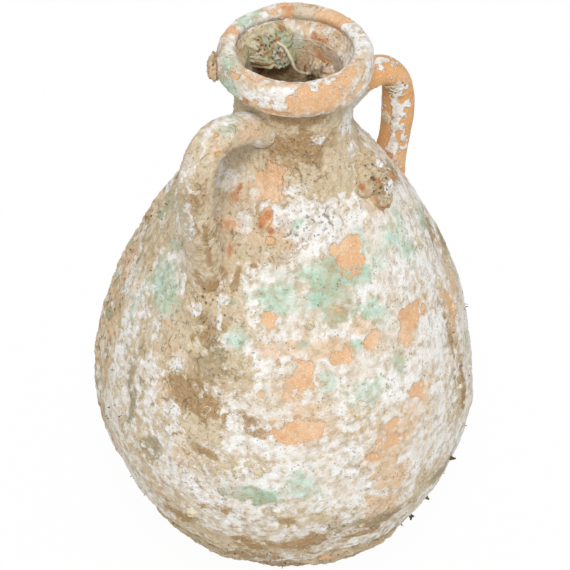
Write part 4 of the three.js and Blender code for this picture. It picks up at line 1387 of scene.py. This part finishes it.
def build_barnacles():
    """The five barnacles of the frame as pieces of their own, and young ones scattered in two clusters."""
    for number, (label, (azimuth, height, radius, rise)) in enumerate(BARNACLES.items()):
        middle, normal = skin_places(np.array([azimuth]), np.array([height]))
        grid = cones(middle, normal, np.array([radius]), np.array([rise]), number, 48)
        name = f"{label}_barnacle_shell"
        show(name, grid_mesh(name, grid), "lime", [f"barnacle_{label}"])
    draw = np.random.default_rng(17)
    middles, normals = skin_places(
        np.concatenate([draw.normal(205, 9, 9), draw.normal(292, 10, 8), draw.uniform(-40, 150, 24)]),
        np.concatenate([draw.normal(200, 30, 9), draw.normal(250, 30, 8), draw.uniform(60, 470, 24)]),
    )
    radii = draw.uniform(1.2, 2.8, len(middles))
    grid = cones(middles, normals, radii, radii * 0.7, 18, 14)
    show("young_barnacles", grid_mesh("young_barnacles", grid), "lime")


def build_shell():
    """The chip of shell inside the right handle's bow: a low dome with ribs that fan out from its hinge."""
    share = np.linspace(0.03, 1, 26)[:, None]
    turn = np.linspace(0, 2 * np.pi, 96, endpoint=False)
    edge = 1 + 0.05 * np.cos(3 * turn) + 0.04 * np.sin(5 * turn)
    across = 8 * share * edge * np.cos(turn)
    upward = 9.5 * share * edge * np.sin(turn)
    fan = np.arctan2(across, upward + 13)
    ribs = 0.3 * np.cos(38 * fan) * share + 0.25 * np.cos(2.2 * (upward + 13))
    out = 3.2 * np.sqrt(np.clip(1 - share**2.4, 0, 1)) + ribs * np.sqrt(1 - share**6) - 0.2
    low, high = extent("shell_chip")
    azimuth = HANDLES["right"]["azimuth"]
    inward, beside = -around(1, azimuth, 0.0), around(1, azimuth + 90, 0.0)
    middle = (low + high) / 2 + inward * -1.6
    top = middle + across[..., None] * beside + out[..., None] * inward
    top = top + upward[..., None] * (0, 0, 1)
    under = (top - (out[..., None] + 4) * inward)[::-6]
    mesh = grid_mesh("shell_scale", np.concatenate([top, under])[None])
    show("shell_scale", mesh, "lime", ["shell_chip"])


# Stubs of weed: azimuth and height
WEED_STUBS = {"low": (-74, 94), "mid": (-72, 122), "high": (-63, 160)}


def strands(middles, normals, lengths, radii, seed, rows, sides):
    """Tapered strands that stand out from the wall and bend to one side, as length t (1, 0.35 t, 0.35 t)."""
    draw = np.random.default_rng(seed)
    share = np.linspace(-0.25, 1, rows)
    across = unit(np.cross(normals, draw.normal(0, 1, normals.shape)))
    beside = np.cross(normals, across)
    bend = draw.uniform(-0.45, 0.45, (2, len(middles)))[..., None, None]
    step = lengths[:, None, None] * share[:, None]
    path = middles[:, None] + step * normals[:, None]
    path = path + step * np.abs(share[:, None]) * (bend[0] * across[:, None] + bend[1] * beside[:, None])
    radius = radii[:, None] * (1 - 0.72 * np.clip(share, 0, 1) ** 1.5)
    return tubes(path, radius, sides)


def build_weed():
    """The three stubs of weed at the lower right, and tufts of dark strands round the base and the flank."""
    for number, (label, (azimuth, height)) in enumerate(WEED_STUBS.items()):
        middle, normal = skin_places(np.array([azimuth]), np.array([height]))
        tuft = np.repeat(middle, 4, 0) + np.random.default_rng(number).normal(0, 0.7, (4, 3))
        directions = unit(np.repeat(normal, 4, 0) + np.random.default_rng(number + 5).normal(0, 0.3, (4, 3)))
        lengths = np.array([5.5, 5, 4.5, 4])
        grid = strands(tuft, directions, lengths, np.array([2.2, 1.9, 1.7, 1.4]), number, 14, 10)
        name = f"{label}_weed_tuft"
        show(name, grid_mesh(name, grid), "weed", [f"weed_stub_{label}"])
    draw = np.random.default_rng(23)
    count = 110
    middles, normals = skin_places(
        np.concatenate([draw.uniform(140, 320, 70), draw.uniform(132, 170, 25), draw.uniform(300, 330, 15)]),
        np.concatenate([draw.uniform(40, 110, 70), draw.uniform(110, 420, 25), draw.uniform(110, 330, 15)]),
    )
    directions = unit(normals + draw.normal(0, 0.35, normals.shape))
    lengths = draw.uniform(1.2, 3.6, count)
    grid = strands(middles, directions, lengths, draw.uniform(0.35, 0.75, count), 24, 7, 6)
    show("dark_tufts", grid_mesh("dark_tufts", grid), "weed")


def build_trails():
    """Lime tubes of small worms that wander over the wall and lie half sunk in its crust.

    A trail's heading is a sum of random turns, and its steps go round and up the wall by the heading's
    cosine and sine.
    """
    draw = np.random.default_rng(29)
    count, steps = 150, 42
    azimuth = np.concatenate([draw.uniform(160, 310, 90), draw.uniform(-40, 150, 60)])
    height = np.concatenate([draw.uniform(150, 540, 90), draw.uniform(60, 520, 60)])
    turns = np.cumsum(draw.normal(0, 0.16, (count, steps)), axis=1)
    heading = draw.uniform(0, 2 * np.pi, (count, 1)) + np.cumsum(0.35 * turns, axis=1)
    step = draw.uniform(0.35, 0.75, (count, 1))
    rises = height[:, None] + np.cumsum(step * np.sin(heading), axis=1)
    radius_here = OUTLINE.at(OUTLINE.run_at(rises))[..., 0]
    turned_by = np.cumsum(step * np.cos(heading), axis=1) / radius_here / DEGREE
    path, normal = skin_places(azimuth[:, None] + turned_by, rises)
    share = np.linspace(0, 1, steps)
    width = draw.uniform(0.45, 1.05, (count, 1)) * (0.6 + 0.4 * share)
    path = path + normal * 0.25 * width[..., None]
    grid = tubes(path, width * (0.25 + 0.75 * np.sin(np.pi * share) ** 0.4), 6, up=normal)
    show("worm_trails", grid_mesh("worm_trails", grid), "lime")


GRIT_COLUMNS = 6


def build_grit():
    """Grit of shell stuck in the sediment: hundreds of squashed grains, each an ellipsoid of a few faces."""
    draw = np.random.default_rng(31)
    count = 900
    azimuth = draw.uniform(0, 360, count)
    height = np.where(draw.random(count) < 0.45, draw.uniform(440, 570, count), draw.uniform(60, 440, count))
    middles, normals = skin_places(azimuth, height)
    across = unit(np.cross(normals, draw.normal(0, 1, (count, 3))))
    beside = np.cross(normals, across)
    latitude = np.array([-55, 0, 55])[:, None] * DEGREE
    turn = np.linspace(0, 2 * np.pi, GRIT_COLUMNS, endpoint=False)
    long, wide, high = (draw.uniform(*ends, count) for ends in ((0.5, 1.7), (0.4, 1.1), (0.3, 0.8)))
    ring = np.cos(latitude) * np.cos(turn), np.cos(latitude) * np.sin(turn), np.sin(latitude) + 0 * turn
    grid = middles[:, None, None] + sum(
        (size[:, None, None] * part)[..., None] * direction[:, None, None]
        for size, part, direction in zip((long, wide, high), ring, (across, beside, normals))
    )
    show("shell_grit", grid_mesh("shell_grit", grid), "lime")


# Dark bits of worm on the right handle: share of its length, angle round the coil
HANDLE_BITS = [(0.31, 120), (0.33, 150), (0.35, 107), (0.37, 140), (0.39, 125), (0.42, 160), (0.45, 118)]


def build_handle_bits():
    """Short worm tubes on the inner side of the right handle, below its crown."""
    path, sideways, inward = handle_frame(HANDLES["right"], HANDLE_ROWS)
    share, angle = np.array(HANDLE_BITS).T
    row = (share * (HANDLE_ROWS - 1)).astype(int)
    cosine, sine = np.cos(angle * DEGREE)[:, None], np.sin(angle * DEGREE)[:, None]
    outward = unit(cosine * sideways / HANDLE_WIDTH + sine * inward[row] / HANDLE_DEPTH)
    middle = path[row] + HANDLE_WIDTH / 2 * cosine * sideways + HANDLE_DEPTH / 2 * sine * inward[row]
    draw = np.random.default_rng(37)
    heading = draw.uniform(0, np.pi, len(share))[:, None]
    along = np.cos(heading) * np.cross(outward, sideways) + np.sin(heading) * sideways
    along = unit(along - (along * outward).sum(-1, keepdims=True) * outward)
    bow = np.cross(outward, along)
    step = np.linspace(-1, 1, 18)[None, :, None]
    half = draw.uniform(3, 6, len(share))[:, None, None]
    path = middle[:, None] + half * (step * along[:, None] + 0.4 * (1 - step**2) * bow[:, None])
    path = path + outward[:, None] * (0.9 - 0.12 * half * step**2)
    grid = tubes(path, np.full(path.shape[:2], 0.8), 8, up=np.broadcast_to(outward[:, None], path.shape))
    show("handle_worm_bits", grid_mesh("handle_worm_bits", grid), "lime")


# Finishes


def rgba(name):
    """A colour of the palette with a full alpha."""
    return (*getattr(bpy.context.scene.amphora_colours, name), 1.0)


class Nodes:
    """Adds nodes to a tree. An input, by name or number, is given as a socket to link or a plain value."""

    def __init__(self, tree):
        self.tree = tree

    def add(self, kind, inputs=None, **settings):
        """A node with its settings and inputs."""
        node = self.tree.nodes.new(kind)
        for key, value in settings.items():
            setattr(node, key, value)
        for key, value in (inputs or {}).items():
            if isinstance(value, bpy.types.NodeSocket):
                self.tree.links.new(value, node.inputs[key])
            else:
                node.inputs[key].default_value = value
        return node

    def math(self, operation, first, second=0.0, clamp=False):
        """The result of a math node."""
        inputs = {0: first, 1: second}
        return self.add("ShaderNodeMath", inputs, operation=operation, use_clamp=clamp).outputs[0]

    def mix(self, share, first, second, blend="MIX"):
        """Two colours mixed by a share."""
        inputs = {0: share, 6: first, 7: second}
        return self.add("ShaderNodeMix", inputs, data_type="RGBA", blend_type=blend).outputs[2]

    def ramp(self, value, low, high, start=0.0, end=1.0):
        """A value taken from the range low to high to the range start to end, and kept in it."""
        inputs = {"Value": value, "From Min": low, "From Max": high, "To Min": start, "To Max": end}
        return self.add("ShaderNodeMapRange", inputs).outputs[0]

    def noise(self, vector, size, detail=2.0, low=0.32, high=0.68):
        """Noise with waves of a size in millimetres, stretched to fill the range from 0 to 1."""
        inputs = {"Vector": vector, "Scale": MM / size, "Detail": detail}
        return self.ramp(self.add("ShaderNodeTexNoise", inputs).outputs[0], low, high)


def new_group(name, inputs, outputs):
    """A node group with named float or colour inputs and outputs: the group, its nodes and both ends."""
    group = bpy.data.node_groups.new(name, "ShaderNodeTree")
    for label, default in inputs.items():
        kind = "NodeSocketColor" if isinstance(default, tuple) else "NodeSocketFloat"
        socket = group.interface.new_socket(label, in_out="INPUT", socket_type=kind)
        socket.default_value = default
    for label, kind in outputs.items():
        group.interface.new_socket(label, in_out="OUTPUT", socket_type=kind)
    nodes = Nodes(group)
    return group, nodes, nodes.add("NodeGroupInput"), nodes.add("NodeGroupOutput")


def crust_grain():
    """The grain that every dry surface here shares: blotches, waves, fine grain, specks, pits, flakes that
    each have a level of their own, a mix of these for ragged edges, and thin cracks.

    It reads Object coordinates, which are the frame's own, so the grain runs on from piece to piece.
    """
    found = bpy.data.node_groups.get("Crust grain")
    if found:
        return found
    labels = ("Blotch", "Ragged", "Fine", "Speck", "Pits", "Flake", "Edge", "Crack")
    outputs = dict.fromkeys(labels, "NodeSocketFloat")
    group, nodes, start, end = new_group("Crust grain", {"Coarseness": 1.0}, outputs)
    place = nodes.add("ShaderNodeTexCoord").outputs["Object"]
    scaled = nodes.add(
        "ShaderNodeVectorMath", {0: place, "Scale": start.outputs["Coarseness"]}, operation="SCALE"
    ).outputs[0]
    blotch = nodes.noise(place, 42, 3.0)
    ragged = nodes.noise(scaled, 8, 4.0)
    fine = nodes.noise(scaled, 2.6, 3.0)
    speck = nodes.noise(scaled, 1.1, 1.0)
    inputs = {"Vector": scaled, "Scale": MM / 6, "Detail": 2.0}
    waver = nodes.add("ShaderNodeTexNoise", inputs).outputs["Color"]
    inputs = {0: waver, 1: (0.005, 0.005, 0.005), 2: scaled}
    bent = nodes.add("ShaderNodeVectorMath", inputs, operation="MULTIPLY_ADD").outputs[0]
    holes = nodes.add("ShaderNodeTexVoronoi", {"Vector": bent, "Scale": MM / 3.6}).outputs["Distance"]
    holes = nodes.ramp(holes, 0.3, 0.14)
    where = nodes.noise(place, 15, 2.0)
    pits = nodes.math("MULTIPLY", holes, nodes.ramp(where, 0.52, 0.72))
    flakes = nodes.add("ShaderNodeTexVoronoi", {"Vector": bent, "Scale": MM / 6.5}).outputs["Color"]
    flake = nodes.add("ShaderNodeSeparateXYZ", {0: flakes}).outputs[0]
    edge = nodes.math("ADD", nodes.math("MULTIPLY", ragged, 0.45), nodes.math("MULTIPLY", flake, 0.3))
    edge = nodes.ramp(nodes.math("ADD", edge, nodes.math("MULTIPLY", fine, 0.25)), 0.22, 0.78)
    inputs = {"Vector": bent, "Scale": MM / 12}
    seams = nodes.add("ShaderNodeTexVoronoi", inputs, feature="DISTANCE_TO_EDGE").outputs["Distance"]
    crack = nodes.math("MULTIPLY", nodes.ramp(seams, 0.06, 0.02), nodes.ramp(ragged, 0.6, 0.75))
    crack = nodes.math("MAXIMUM", crack, nodes.math("MULTIPLY", holes, nodes.ramp(ragged, 0.5, 0.3)))
    for label, value in zip(outputs, (blotch, ragged, fine, speck, pits, flake, edge, crack)):
        group.links.new(value, end.inputs[label])
    return group


def covering():
    """One covering over another: its field with a share of noise, cut off at a half.

    Mask = (Field + (Noise - 0.5) Ragged - 0.5) / Softness + 0.5, kept from 0 to 1.
    """
    found = bpy.data.node_groups.get("Covering")
    if found:
        return found
    white = (1.0, 1.0, 1.0, 1.0)
    inputs = {
        "Under": white, "Over": white, "Field": 0.0, "Noise": 0.5, "Ragged": 0.5, "Softness": 0.1,
        "Opacity": 1.0,
    }
    outputs = {"Color": "NodeSocketColor", "Mask": "NodeSocketFloat"}
    group, nodes, start, end = new_group("Covering", inputs, outputs)
    socket = start.outputs
    wave = nodes.math("MULTIPLY", nodes.math("SUBTRACT", socket["Noise"], 0.5), socket["Ragged"])
    level = nodes.math("SUBTRACT", nodes.math("ADD", socket["Field"], wave), 0.5)
    mask = nodes.math("ADD", nodes.math("DIVIDE", level, socket["Softness"]), 0.5, clamp=True)
    mask = nodes.math("MULTIPLY", mask, socket["Opacity"])
    group.links.new(nodes.mix(mask, socket["Under"], socket["Over"]), end.inputs["Color"])
    group.links.new(mask, end.inputs["Mask"])
    return group


# The coverings in the order in which they lie: two colours, the noise that draws the edge, how ragged
# and how soft the edge is, and how much the covering hides
LAYERS = {
    "sediment": ("sediment", "sediment_dark", "Edge", 0.65, 0.35, 0.95),
    "brown": ("brown", "sediment_dark", "Edge", 0.6, 0.4, 0.9),
    "olive": ("olive", "sediment_dark", "Edge", 0.5, 0.5, 0.85),
    "lime": ("crust_bright", "crust_shade", "Edge", 0.7, 0.3, 1.0),
    "blush": ("clay_pale", "clay", "Edge", 0.55, 0.45, 0.8),
    "sage": ("sage", "crust_shade", "Ragged", 0.6, 0.8, 0.75),
    "mint": ("mint", "crust_bright", "Ragged", 0.7, 0.7, 0.75),
    "clay": ("clay", "clay_pale", "Edge", 0.5, 0.14, 1.0),
    "rust": ("rust", "rust_dark", "Ragged", 0.8, 0.6, 0.9),
}


def encrusted(name, light, shade, clay="clay", lime_share=1.0, coarseness=1.0, bump=0.8):
    """A dry, matt finish: a ground of two colours in blotches, then each covering where its vertex layer
    says, grime and painted shade in the pits, cracks and the relief's valleys, and grain in colour, roughness
    and bump."""
    finish = bpy.data.materials.new(name)
    finish.use_nodes = True
    finish.node_tree.nodes.clear()
    nodes = Nodes(finish.node_tree)
    grain = nodes.add("ShaderNodeGroup", None, node_tree=crust_grain())
    grain.inputs["Coarseness"].default_value = coarseness
    grain = grain.outputs
    stained = nodes.math("MULTIPLY", nodes.math("ADD", grain["Blotch"], grain["Edge"]), 0.5)
    colour_now = nodes.mix(nodes.ramp(stained, 0.4, 0.8), rgba(light), rgba(shade))
    bright = nodes.math("MULTIPLY", nodes.ramp(stained, 0.45, 0.2), lime_share)
    colour_now = nodes.mix(bright, colour_now, rgba("crust_bright"))
    where = nodes.ramp(grain["Blotch"], 0.3, 0.8, 0.15, 0.6)
    specks = nodes.math("MULTIPLY", nodes.ramp(grain["Speck"], 0.75, 1.0), where)
    colour_now = nodes.mix(specks, colour_now, rgba("sediment_dark"))
    parts = {}
    for label, kinds in PAINT_LAYERS.items():
        reader = nodes.add("ShaderNodeAttribute", None, attribute_name=label)
        parts.update(zip(kinds, nodes.add("ShaderNodeSeparateXYZ", {0: reader.outputs["Vector"]}).outputs))
    masks = {}
    for kind, (over, tone, wave, ragged, softness, opacity) in LAYERS.items():
        over = clay if kind == "clay" else over
        turn = nodes.ramp(grain["Blotch" if kind in ("clay", "mint", "sage") else "Fine"], 0.5, 1.2)
        over = nodes.mix(turn, rgba(over), rgba(tone))
        if kind == "clay":
            specks = nodes.math("MULTIPLY", nodes.ramp(grain["Speck"], 0.8, 1.0), 0.75)
            over = nodes.mix(specks, over, rgba("crust"))
        inputs = {
            "Under": colour_now, "Over": over, "Field": parts[kind], "Noise": grain[wave],
            "Ragged": ragged, "Softness": softness, "Opacity": opacity,
        }
        laid = nodes.add("ShaderNodeGroup", None, node_tree=covering())
        for label, value in inputs.items():
            if isinstance(value, bpy.types.NodeSocket):
                finish.node_tree.links.new(value, laid.inputs[label])
            else:
                laid.inputs[label].default_value = value
        colour_now, masks[kind] = laid.outputs["Color"], laid.outputs["Mask"]
    # Painted shade: the relief's valleys turn towards dark sediment, and pits, cracks and creases towards the
    # hollow colour, which stands for grime and shade in them
    bare = nodes.math("SUBTRACT", 1.0, nodes.math("MULTIPLY", masks["clay"], 0.8))
    dirt_and_valley_shade = nodes.math("MULTIPLY", nodes.math("MULTIPLY", parts["dirt_and_valley_shade"], 0.42), bare)
    colour_now = nodes.mix(dirt_and_valley_shade, colour_now, rgba("sediment_dark"))
    fine_pits = nodes.math("MULTIPLY", grain["Pits"], bare)
    seam = nodes.math("MULTIPLY", nodes.math("MULTIPLY", grain["Crack"], parts["crack"], True), bare)
    small_hole = nodes.math("MULTIPLY", nodes.math("MAXIMUM", fine_pits, seam), 0.7)
    hole = nodes.math("MAXIMUM", nodes.ramp(parts["pits"], 0.25, 0.75), small_hole)
    colour_now = nodes.mix(nodes.math("MULTIPLY", hole, 0.78), colour_now, rgba("hollow"))
    tone = nodes.math("ADD", nodes.math("MULTIPLY", grain["Fine"], 0.13), 0.9)
    colour_now = nodes.mix(1.0, colour_now, tone, "MULTIPLY")
    crusted = nodes.math("SUBTRACT", 1.0, masks["clay"])
    rough = nodes.math("MULTIPLY", nodes.math("MAXIMUM", masks["sediment"], masks["brown"]), grain["Ragged"])
    small = nodes.math("MULTIPLY", grain["Fine"], 0.6)
    small = nodes.math("ADD", small, nodes.math("MULTIPLY", grain["Speck"], 0.3))
    small = nodes.math("ADD", small, nodes.math("MULTIPLY", grain["Flake"], 0.45))
    small = nodes.math("MULTIPLY", small, nodes.ramp(masks["clay"], 0, 1, 1, 0.35))
    height = nodes.math("ADD", small, nodes.math("MULTIPLY", crusted, 0.7))
    height = nodes.math("ADD", height, nodes.math("MULTIPLY", rough, 0.6))
    height = nodes.math("SUBTRACT", height, hole)
    inputs = {"Height": height, "Strength": bump, "Distance": 0.0011}
    normal = nodes.add("ShaderNodeBump", inputs).outputs[0]
    inputs = {
        "Base Color": colour_now,
        "Roughness": nodes.ramp(masks["clay"], 0, 1, 0.93, 0.84),
        "Specular IOR Level": 0.25,
        "Normal": normal,
    }
    shader = nodes.add("ShaderNodeBsdfPrincipled", inputs)
    nodes.add("ShaderNodeOutputMaterial", {"Surface": shader.outputs[0]})
    return finish


def plain_grown(name, light, shade, roughness, bump):
    """A finish for shell or weed: two colours in fine blotches with grain in the bump."""
    finish = bpy.data.materials.new(name)
    finish.use_nodes = True
    finish.node_tree.nodes.clear()
    nodes = Nodes(finish.node_tree)
    grain = nodes.add("ShaderNodeGroup", None, node_tree=crust_grain())
    grain.inputs["Coarseness"].default_value = 1.6
    grain = grain.outputs
    mixed = nodes.math("MULTIPLY", grain["Ragged"], 0.6)
    mixed = nodes.math("ADD", mixed, nodes.math("MULTIPLY", grain["Fine"], 0.4))
    colour_now = nodes.mix(nodes.ramp(mixed, 0.35, 0.75), rgba(light), rgba(shade))
    height = nodes.math("ADD", grain["Fine"], nodes.math("MULTIPLY", grain["Speck"], 0.5))
    normal = nodes.add("ShaderNodeBump", {"Height": height, "Strength": bump, "Distance": 0.0004}).outputs[0]
    rough = nodes.ramp(grain["Fine"], 0, 1, roughness, roughness - 0.12)
    inputs = {"Base Color": colour_now, "Roughness": rough, "Specular IOR Level": 0.3, "Normal": normal}
    shader = nodes.add("ShaderNodeBsdfPrincipled", inputs)
    nodes.add("ShaderNodeOutputMaterial", {"Surface": shader.outputs[0]})
    return finish


# How each slot of the record is finished
FINISHES = {
    "crusted_clay": lambda: encrusted("Crusted clay", "crust", "crust_shade"),
    "bare_clay": lambda: encrusted("Handle clay", "crust", "crust_shade", clay="handle_clay"),
    "sediment": lambda: encrusted("Dry sediment", "sediment", "sediment_dark", lime_share=0.5, bump=1.0),
    "brown_crust": lambda: encrusted("Brown crust", "sediment_dark", "brown", lime_share=0.3, bump=1.0),
    "green_growth": lambda: encrusted("Green growth", "green", "sage", lime_share=0.3, coarseness=1.5),
    "lime": lambda: plain_grown("Grown lime", "lime", "lime_shade", 0.85, 0.6),
    "weed": lambda: plain_grown("Dry weed", "weed", "weed_tip", 0.9, 0.6),
}
made_finishes = {}


def material(slot):
    """The finish of a slot, made once."""
    if slot not in made_finishes:
        made_finishes[slot] = FINISHES[slot]()
    return made_finishes[slot]


def finish_plug():
    """The base plug keeps its CAD shape and takes the crusted finish."""
    plug = frame["nodes"]["base_plug"]
    for slot in plug.material_slots:
        slot.material = material("crusted_clay")


# The stage

CAMERA_AZIMUTH = 230
CAMERA_ELEVATION = 39.53
CAMERA_DISTANCE = 3.2
CAMERA_ROLL = 1.23
CAMERA_LENS = 201.7


def background_rays(nodes):
    """1 for the rays that show the background: camera, glossy and transmission rays."""
    path = nodes.add("ShaderNodeLightPath").outputs
    seen = nodes.math("MAXIMUM", path["Is Camera Ray"], path["Is Glossy Ray"])
    return nodes.math("MAXIMUM", seen, path["Is Transmission Ray"])


def build_stage():
    """The even sky, the soft lamp, the pale floor and the camera at the photograph's angle."""
    stage = bpy.context.scene.amphora_stage
    world = bpy.data.worlds.new("Studio")
    bpy.context.scene.world = world
    world.use_nodes = True
    world.node_tree.nodes.clear()
    nodes = Nodes(world.node_tree)
    strength = nodes.ramp(background_rays(nodes), 0, 1, stage.sky, 1.0)
    sky = nodes.add("ShaderNodeBackground", {"Color": (1.0, 1.0, 1.0, 1.0), "Strength": strength})
    nodes.add("ShaderNodeOutputWorld", {"Surface": sky.outputs[0]})

    lamp = bpy.data.lights.new("Soft lamp", "SUN")
    lamp.energy = stage.sun
    lamp.angle = stage.sun_size
    sun = bpy.data.objects.new("Soft lamp", lamp)
    bpy.context.scene.collection.objects.link(sun)
    away = Vector(around(math.cos(54 * DEGREE), 231, math.sin(54 * DEGREE)))
    sun.rotation_mode = "QUATERNION"
    sun.rotation_quaternion = away.to_track_quat("Z", "Y")

    half, drop = 4.0, -0.0001
    mesh = bpy.data.meshes.new("floor")
    corners = [(-half, -half, drop), (half, -half, drop), (half, half, drop), (-half, half, drop)]
    mesh.from_pydata(corners, [], [(0, 1, 2, 3)])
    floor = bpy.data.objects.new("floor", mesh)
    bpy.context.scene.collection.objects.link(floor)
    pale = bpy.data.materials.new("Pale floor")
    pale.use_nodes = True
    pale.node_tree.nodes.clear()
    nodes = Nodes(pale.node_tree)
    lit = nodes.add("ShaderNodeBsdfDiffuse", {"Color": (*stage.floor, 1.0)}).outputs[0]
    glow = nodes.add("ShaderNodeEmission", {"Color": (1.0, 1.0, 1.0, 1.0), "Strength": 1.0}).outputs[0]
    share = nodes.math("MULTIPLY", background_rays(nodes), stage.floor_glow)
    mixed = nodes.add("ShaderNodeMixShader", {0: share, 1: lit, 2: glow}).outputs[0]
    nodes.add("ShaderNodeOutputMaterial", {"Surface": mixed})
    mesh.materials.append(pale)

    view = bpy.data.cameras.new("Camera")
    view.lens = CAMERA_LENS
    view.sensor_width = 36
    camera = bpy.data.objects.new("Camera", view)
    bpy.context.scene.collection.objects.link(camera)
    level = math.cos(CAMERA_ELEVATION * DEGREE)
    back = Vector(around(level, CAMERA_AZIMUTH, math.sin(CAMERA_ELEVATION * DEGREE)))
    aim = Vector((-0.0032, 0.0027, BELLY_HEIGHT / MM + 0.1243))
    camera.location = aim + CAMERA_DISTANCE * back
    camera.rotation_mode = "QUATERNION"
    roll = Quaternion((0, 0, 1), CAMERA_ROLL * DEGREE)
    camera.rotation_quaternion = (-back).to_track_quat("-Z", "Y") @ roll
    bpy.context.scene.camera = camera
    bpy.context.scene.view_settings.view_transform = "Standard"


# The add-on's operators, panel and main function


class AMPHORA_OT_lower_wall(bpy.types.Operator):
    """Build the crusted lower wall round the lower body"""

    bl_idname = "amphora.lower_wall"
    bl_label = "Lower Wall"

    def execute(self, context):
        build_lower_wall()
        return {"FINISHED"}


class AMPHORA_OT_upper_wall(bpy.types.Operator):
    """Build the crusted upper wall, from the belly to the neck"""

    bl_idname = "amphora.upper_wall"
    bl_label = "Upper Wall"

    def execute(self, context):
        build_upper_wall()
        return {"FINISHED"}


class AMPHORA_OT_neck(bpy.types.Operator):
    """Build the neck, crusted outside and worn inside"""

    bl_idname = "amphora.neck"
    bl_label = "Neck"

    def execute(self, context):
        build_neck()
        return {"FINISHED"}


class AMPHORA_OT_rim(bpy.types.Operator):
    """Build the rolled rim and the lump of shell on it"""

    bl_idname = "amphora.rim"
    bl_label = "Rim"

    def execute(self, context):
        build_rim()
        build_rim_lump()
        return {"FINISHED"}


class AMPHORA_OT_handles(bpy.types.Operator):
    """Build both handles"""

    bl_idname = "amphora.handles"
    bl_label = "Handles"

    def execute(self, context):
        build_handles()
        return {"FINISHED"}


class AMPHORA_OT_plug(bpy.types.Operator):
    """Give the base plug its crusted finish"""

    bl_idname = "amphora.plug"
    bl_label = "Base Plug Finish"

    def execute(self, context):
        finish_plug()
        return {"FINISHED"}


class AMPHORA_OT_growths(bpy.types.Operator):
    """Build the thick growths on the outer wall"""

    bl_idname = "amphora.growths"
    bl_label = "Outer Growths"

    def execute(self, context):
        build_growths()
        return {"FINISHED"}


class AMPHORA_OT_mouth(bpy.types.Operator):
    """Build the green plate, the bed of casts and the worm tubes in the mouth"""

    bl_idname = "amphora.mouth"
    bl_label = "Growth in the Mouth"

    def execute(self, context):
        build_mouth_shelf()
        build_mouth_bed()
        build_worm_tubes()
        return {"FINISHED"}


class AMPHORA_OT_shells(bpy.types.Operator):
    """Build the barnacles, the shell chip and the worm bits on the right handle"""

    bl_idname = "amphora.shells"
    bl_label = "Barnacles and Chip"

    def execute(self, context):
        build_barnacles()
        build_shell()
        build_handle_bits()
        return {"FINISHED"}


class AMPHORA_OT_weed(bpy.types.Operator):
    """Build the stubs and tufts of weed"""

    bl_idname = "amphora.weed"
    bl_label = "Weed"

    def execute(self, context):
        build_weed()
        return {"FINISHED"}


class AMPHORA_OT_litter(bpy.types.Operator):
    """Build the worm trails and the shell grit on the wall"""

    bl_idname = "amphora.litter"
    bl_label = "Trails and Grit"

    def execute(self, context):
        build_trails()
        build_grit()
        return {"FINISHED"}


class AMPHORA_OT_stage(bpy.types.Operator):
    """Build the light, the floor and the camera"""

    bl_idname = "amphora.stage"
    bl_label = "Stage"

    def execute(self, context):
        build_stage()
        return {"FINISHED"}


OPERATORS = (
    AMPHORA_OT_lower_wall,
    AMPHORA_OT_upper_wall,
    AMPHORA_OT_neck,
    AMPHORA_OT_rim,
    AMPHORA_OT_handles,
    AMPHORA_OT_plug,
    AMPHORA_OT_growths,
    AMPHORA_OT_mouth,
    AMPHORA_OT_shells,
    AMPHORA_OT_weed,
    AMPHORA_OT_litter,
    AMPHORA_OT_stage,
)


class AMPHORA_PT_sidebar(bpy.types.Panel):
    """The amphora's sizes, colours, light and builders"""

    bl_idname = "AMPHORA_PT_sidebar"
    bl_label = "Amphora"
    bl_space_type = "VIEW_3D"
    bl_region_type = "UI"
    bl_category = "Amphora"

    def draw(self, context):
        """Lists every property and every operator."""
        layout = self.layout
        scene = context.scene
        for group in (scene.amphora_relief, scene.amphora_colours, scene.amphora_stage):
            box = layout.box()
            for label in group.__annotations__:
                box.prop(group, label)
        column = layout.column(align=True)
        for operator in OPERATORS:
            column.operator(operator.bl_idname)


CLASSES = (AmphoraRelief, AmphoraColours, AmphoraStage, *OPERATORS, AMPHORA_PT_sidebar)


def register():
    """Registers the classes and puts the properties on the scene."""
    for entry in CLASSES:
        bpy.utils.register_class(entry)
    bpy.types.Scene.amphora_relief = bpy.props.PointerProperty(type=AmphoraRelief)
    bpy.types.Scene.amphora_colours = bpy.props.PointerProperty(type=AmphoraColours)
    bpy.types.Scene.amphora_stage = bpy.props.PointerProperty(type=AmphoraStage)


def unregister():
    """Takes the properties and the classes away again."""
    del bpy.types.Scene.amphora_relief
    del bpy.types.Scene.amphora_colours
    del bpy.types.Scene.amphora_stage
    for entry in reversed(CLASSES):
        bpy.utils.unregister_class(entry)


def main():
    register()
    for operator in OPERATORS:
        getattr(bpy.ops.amphora, operator.bl_idname.split(".")[1])()


if __name__ == "__main__":
    main()
